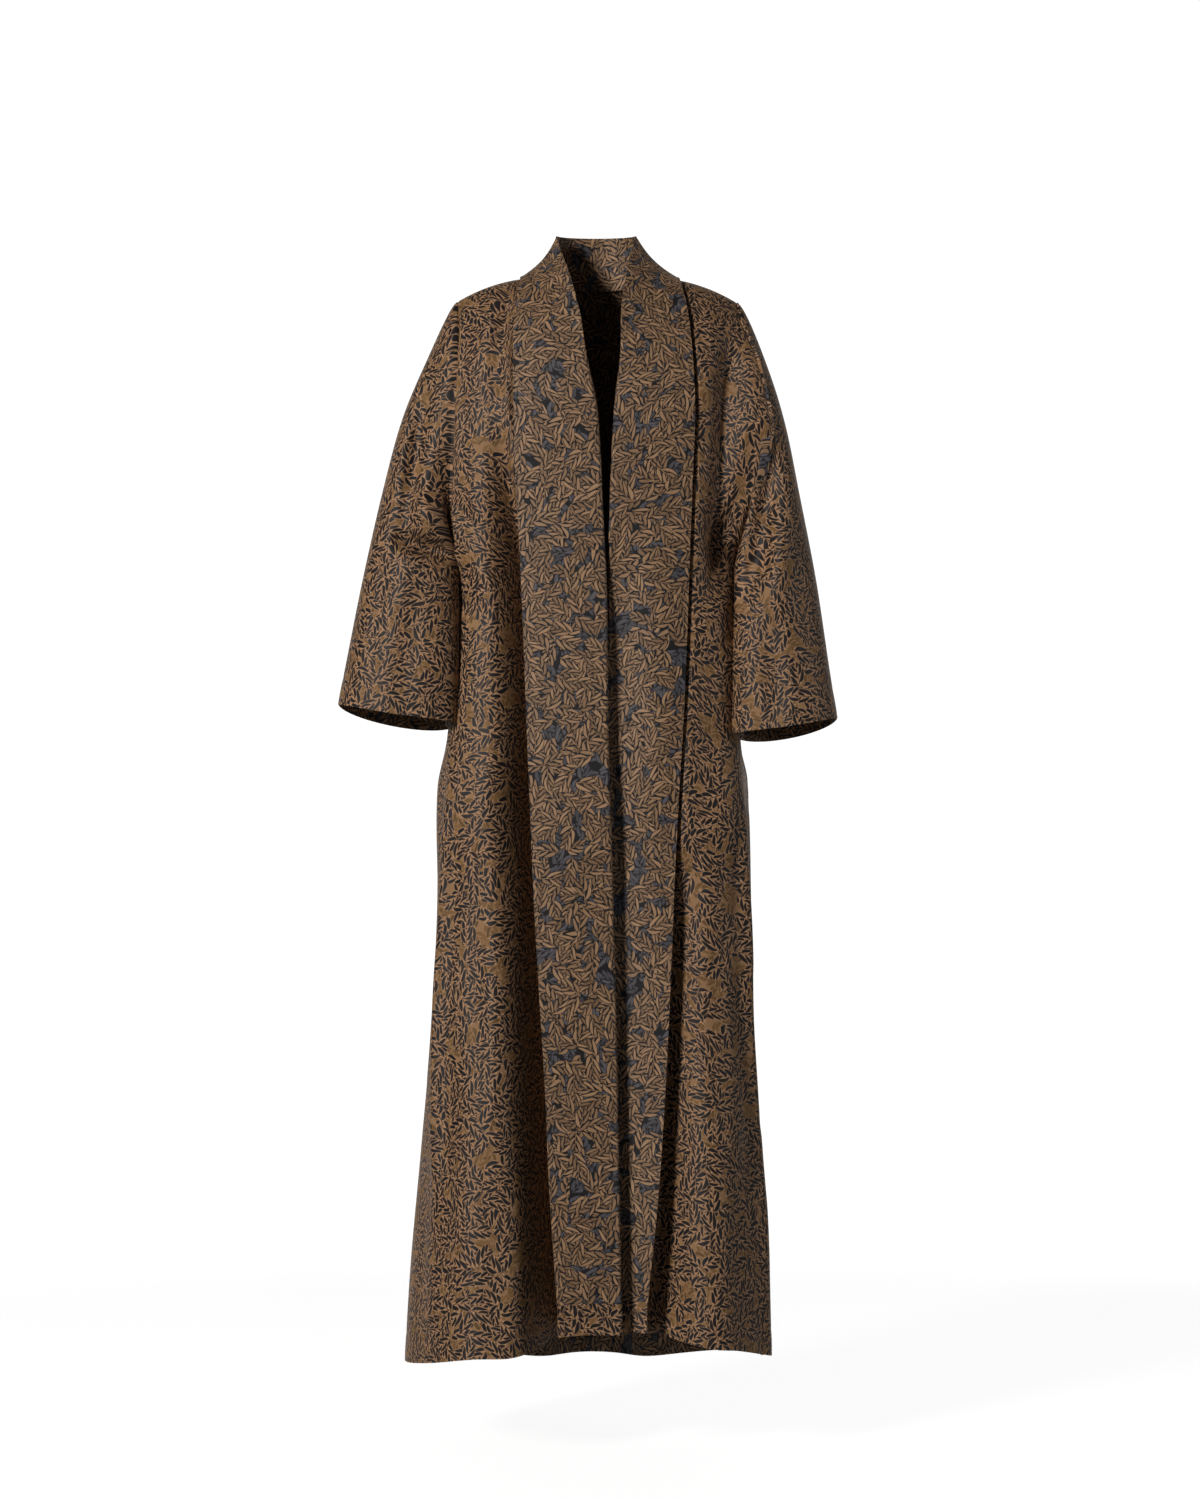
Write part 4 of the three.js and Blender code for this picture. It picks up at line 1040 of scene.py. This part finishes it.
def sprigs(graph, at, cell, offset, cover, half_width):
    """One sprig in each cell of a given size in millimetres. Returns how deep inside a leaf each place is, in
    millimetres and negative outside, and a chance number for each leaf."""
    placed = graph.vector("ADD", at, offset)
    strewn = {"Vector": placed, "Scale": 1 / cell, "Randomness": STREWN}
    centre = graph.node("TexVoronoi", strewn, output="Position", voronoi_dimensions="2D")
    to_edge = graph.node("TexVoronoi", strewn, voronoi_dimensions="2D", feature="DISTANCE_TO_EDGE")
    chance = graph.node("SeparateColor", {"Color": centre.also("Color")})
    local = graph.node("SeparateXYZ", {"Vector": graph.vector("SUBTRACT", placed, centre)})
    turn = chance * (2 * math.pi)
    c, s = graph.math("COSINE", turn), graph.math("SINE", turn)
    x, y = local, local.also("Y")
    up = y * c - x * s
    bend = (chance.also("Green") - 0.5) * STEM_BEND * (up * up)
    out = (x * c + y * s + bend) * (up * FAN + 1)
    side, off = graph.math("SIGN", out), graph.math("ABSOLUTE", out)

    lean, pitch = LEAF["lean"], LEAF["pitch"]
    line = (up + side * (pitch / 4) - off * (off * LEAF["curl"] + 1 / math.tan(lean))) / pitch
    number = graph.math("FLOOR", line)
    across = graph.math("ABSOLUTE", line - number - 0.5) * (pitch * math.sin(lean))
    rooted = (number + 0.5) * (pitch / STEM_REACH)
    size = graph.math("SQRT", graph.math("MAXIMUM", 1 - rooted * rooted, 0))
    apart = chance.also("Blue") * CHANCE_SPREAD
    where = graph.node("CombineXYZ", {"X": number, "Y": side, "Z": apart})
    leaf_chance = graph.node("TexWhiteNoise", {"Vector": where})
    reach = size * (leaf_chance * LEAF["spread"] + LEAF["least"]) * (LEAF["length"] * math.sin(lean))
    share = off / graph.math("MAXIMUM", reach, 0.01)
    depth = share * (1 - share) * (4 * half_width) - across
    stem = graph.math("MINIMUM", STEM_HALF - off, STEM_REACH * STEM_SHOWN - graph.math("ABSOLUTE", up))
    depth = graph.math("MAXIMUM", depth, stem)
    depth = graph.math("MINIMUM", depth, to_edge * (cell * CELL_REACH) - CELL_GAP)
    cloud = noise(graph, graph.vector("SUBTRACT", centre, offset), BARE_ACROSS, 0)
    return depth - (cloud > cover) * LEFT_OUT, leaf_chance


# %% [markdown]
# ## The two sides of the cloth
#
# Both sides share one figure. On the face the leaves are navy on a tan ground, and between the sprigs lie
# small golden petals. On the reverse the same leaves are tan, with black round them, and the petals are slate
# grey. The twill is too fine to see from a step away, and only softens the gloss.

# %% Face and reverse
GAP, LEAF_EDGE = 1.1, 0.35
PALETTE = {
    "face": {
        "ground": (180, 139, 103), "petal": (92, 67, 37), "petal_light": (130, 97, 58),
        "vein": (150, 115, 80), "leaf": (10, 11, 16), "leaf_light": (32, 28, 28),
    },
    "reverse": {
        "ground": (14, 13, 15), "petal": (70, 68, 72), "petal_light": (92, 89, 94),
        "vein": (24, 23, 26), "leaf": (124, 96, 70), "leaf_light": (172, 136, 102),
    },
}
LEAF_HALF, LEAF_COVER = {"face": 2.6, "reverse": 2.05}, {"face": 0.72, "reverse": 0.7}
UPPER_CELL, UPPER_START = 24.5, (0, 0, 0)
LOWER_CELL, LOWER_START, LOWER_MORE = 22.5, (415, 263, 0), 0.05
PETAL_CELL, PETAL_START, PETAL_COVER = 19, (157, 731, 0), 2
PETAL_HALF, PETAL_REACH = 2.6, 1.2
WAVER, WAVER_ACROSS = 9, 45
TWILL, SLUB_ACROSS = 0.6, 3
TWILL_HEIGHT, SLUB_HEIGHT = 0.012, 0.25


def cloth_material(side):
    """The face or the reverse of the jacquard."""
    paint = {name: colour(*value) for name, value in PALETTE[side].items()}
    material, graph = new_material("jacquard_" + side)
    uv = graph.node("UVMap", uv_map="cloth")
    at = graph.vector("MULTIPLY", uv, (1 / MM, 1 / MM, 0))
    waver = noise(graph, at, WAVER_ACROSS, 1, output="Color")
    shifted = graph.vector("MULTIPLY_ADD", waver, (WAVER, WAVER, 0), at)
    half, cover = LEAF_HALF[side], LEAF_COVER[side]
    upper, upper_chance = sprigs(graph, shifted, UPPER_CELL, UPPER_START, cover, half)
    lower, lower_chance = sprigs(graph, shifted, LOWER_CELL, LOWER_START, cover + LOWER_MORE, half)
    petal, petal_chance = sprigs(graph, shifted, PETAL_CELL, PETAL_START, PETAL_COVER, PETAL_HALF)
    on_top = graph.math("GREATER_THAN", upper, -GAP / 2)
    leaf = graph.math("MAXIMUM", upper, graph.math("MINIMUM", lower, -upper - GAP))
    chance = graph.blend(on_top, lower_chance, upper_chance)
    leaf_share = graph.step(leaf, -LEAF_EDGE, LEAF_EDGE)

    petals = graph.blend(petal_chance, paint["petal"], paint["petal_light"])
    petals = graph.blend(graph.step(petal, -LEAF_EDGE, LEAF_EDGE), paint["vein"], petals)
    near = graph.step(leaf, -PETAL_REACH - LEAF_EDGE, -PETAL_REACH + LEAF_EDGE)
    lined = graph.blend(near, petals, paint["ground"])
    leaves = graph.blend(chance, paint["leaf"], paint["leaf_light"])
    figured = graph.blend(leaf_share, lined, leaves)

    flat = graph.node("SeparateXYZ", {"Vector": at})
    rib = graph.math("SINE", (flat + flat.also("Y")) * (2 * math.pi / TWILL))
    slub = noise(graph, at, SLUB_ACROSS, 1)
    height = rib * TWILL_HEIGHT + slub * SLUB_HEIGHT
    bump = graph.node("Bump", {"Height": height, "Distance": MM, "Strength": 1.0})
    shader = graph.node("BsdfPrincipled", {
        "Base Color": figured,
        "Roughness": 0.72 - leaf_share * 0.14,
        "Normal": bump,
        "Specular IOR Level": 0.35,
        "Sheen Weight": 0.12,
        "Sheen Roughness": 0.4,
        "Sheen Tint": (*colour(214, 190, 158), 1),
    })
    graph.node("OutputMaterial", {"Surface": shader})
    return material


face_cloth, reverse_cloth = cloth_material("face"), cloth_material("reverse")
print("nodes in one side of the cloth:", len(face_cloth.node_tree.nodes))

# %% [markdown]
# ## Finishing the pieces
#
# Each piece gets the side of the cloth that shows on it, with the other side inside. It rides on the body
# of the frame and stands for its solids there, which are hidden.

# %% Cloth sides and frame
PIECES = [
    ("front_right", "face", None), ("front_left", "face", None), ("back", "face", None),
    ("sleeve_right", "face", None), ("sleeve_left", "face", None),
    ("lapel_right", "reverse", "front_right"), ("lapel_left", "reverse", "front_left"),
    ("collar", "reverse", "back"),
    ("lapel_hem_right", "face", "lapel_right"), ("lapel_hem_left", "face", "lapel_left"),
    ("back_hem", "face", "back"),
]


def solids_of(piece):
    """The solids that a piece stands for, which start with its name. The turned-up hem of the back is a piece
    of its own."""
    named = [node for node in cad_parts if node.startswith(piece)]
    return [node for node in named if (node == "back_hem_turning") == (piece == "back_hem")]


for name, side, carrier in PIECES:
    made = made_pieces[name + "_cloth"]
    piece = made["piece"]
    sides = (face_cloth, reverse_cloth) if side == "face" else (reverse_cloth, face_cloth)
    for material in sides:
        piece.data.materials.append(material)
    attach(piece, "root")
    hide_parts(*solids_of(name))
print("cloth in all:", round(sum(made["area"] for made in made_pieces.values()), 2), "square metres")

# %% [markdown]
# ## Floor, light and camera
#
# The photograph is a high-key studio shot: a white sweep behind, a soft light from the front left, and light
# that wraps round the silhouette. So the world is bright behind and dim in front, one area light is the soft
# light, and a weak one on the other side lifts the shadows.

# %% The studio
FLOOR_Z, FLOOR_RADIUS, FLOOR_FADE, FLOOR_COVER = -1.546, 3.2, (2.2, 3.1), 0.25
SWEEP = (0.5, 0.94)
SKY_IN_FRONT, SKY_BEHIND = (0.04, 0.04, 0.044), (1.08, 1.08, 1.08)

floor_mesh = bpy.data.meshes.new("floor")
bm = bmesh.new()
bmesh.ops.create_circle(bm, cap_ends=True, segments=96, radius=FLOOR_RADIUS)
bmesh.ops.translate(bm, verts=bm.verts, vec=(0, 0, FLOOR_Z))
bm.to_mesh(floor_mesh)
bm.free()
floor = add_object("floor", floor_mesh)

floor_material, graph = new_material("pale_floor")
place = graph.node("TexCoord", output="Object")
far = graph.vector("LENGTH", place).also("Value")
grain = graph.node("TexNoise", {"Vector": place, "Scale": 6, "Detail": 3})
shader = graph.node("BsdfPrincipled", {
    "Base Color": graph.blend(grain, (0.93, 0.93, 0.93), (0.97, 0.97, 0.97)),
    "Roughness": 0.6,
    "Emission Color": (1, 1, 1, 1),
    "Emission Strength": 0.34,
    "Alpha": FLOOR_COVER - FLOOR_COVER * graph.step(far, *FLOOR_FADE),
})
graph.node("OutputMaterial", {"Surface": shader})
floor_mesh.materials.append(floor_material)

world = bpy.data.worlds.new("studio")
bpy.context.scene.world = world
world.use_nodes = True
graph = Graph(world.node_tree)
looking = graph.node("TexCoord", output="Generated")
direction = graph.node("SeparateXYZ", {"Vector": looking})
sky = graph.blend(graph.step(direction.also("Y"), *SWEEP), SKY_IN_FRONT, SKY_BEHIND)
graph.node("OutputWorld", {"Surface": graph.node("Background", {"Color": sky})})


def area_light(name, place, target, width, watts, tint):
    """A square soft light that faces a target."""
    light = bpy.data.lights.new(name, "AREA")
    light.size, light.energy, light.color = width, watts, tint
    lamp = add_object(name, light)
    lamp.location = place
    lamp.rotation_euler = (Vector(target) - Vector(place)).to_track_quat("-Z", "Y").to_euler()


area_light("key", (-2.6, -3.55, 0.9), target=(0, 0, -0.6), width=0.8, watts=158, tint=(1, 0.965, 0.935))
area_light("far_side", (3.6, -0.9, 0.3), target=(0, 0, -0.7), width=1.0, watts=22, tint=(0.97, 0.98, 1))

camera_data = bpy.data.cameras.new("camera")
camera_data.sensor_width, camera_data.lens = 36, 100
camera = add_object("camera", camera_data)
camera.location = (0.005, -5.5, -0.631)
camera.rotation_euler = (math.radians(90), 0, 0)
bpy.context.scene.camera = camera
bpy.context.scene.view_settings.view_transform = "Standard"

# %% [markdown]
# ## Bringing the scene up to date
#
# Last, the view layer is updated once more.

# %% Finish
bpy.context.view_layer.update()
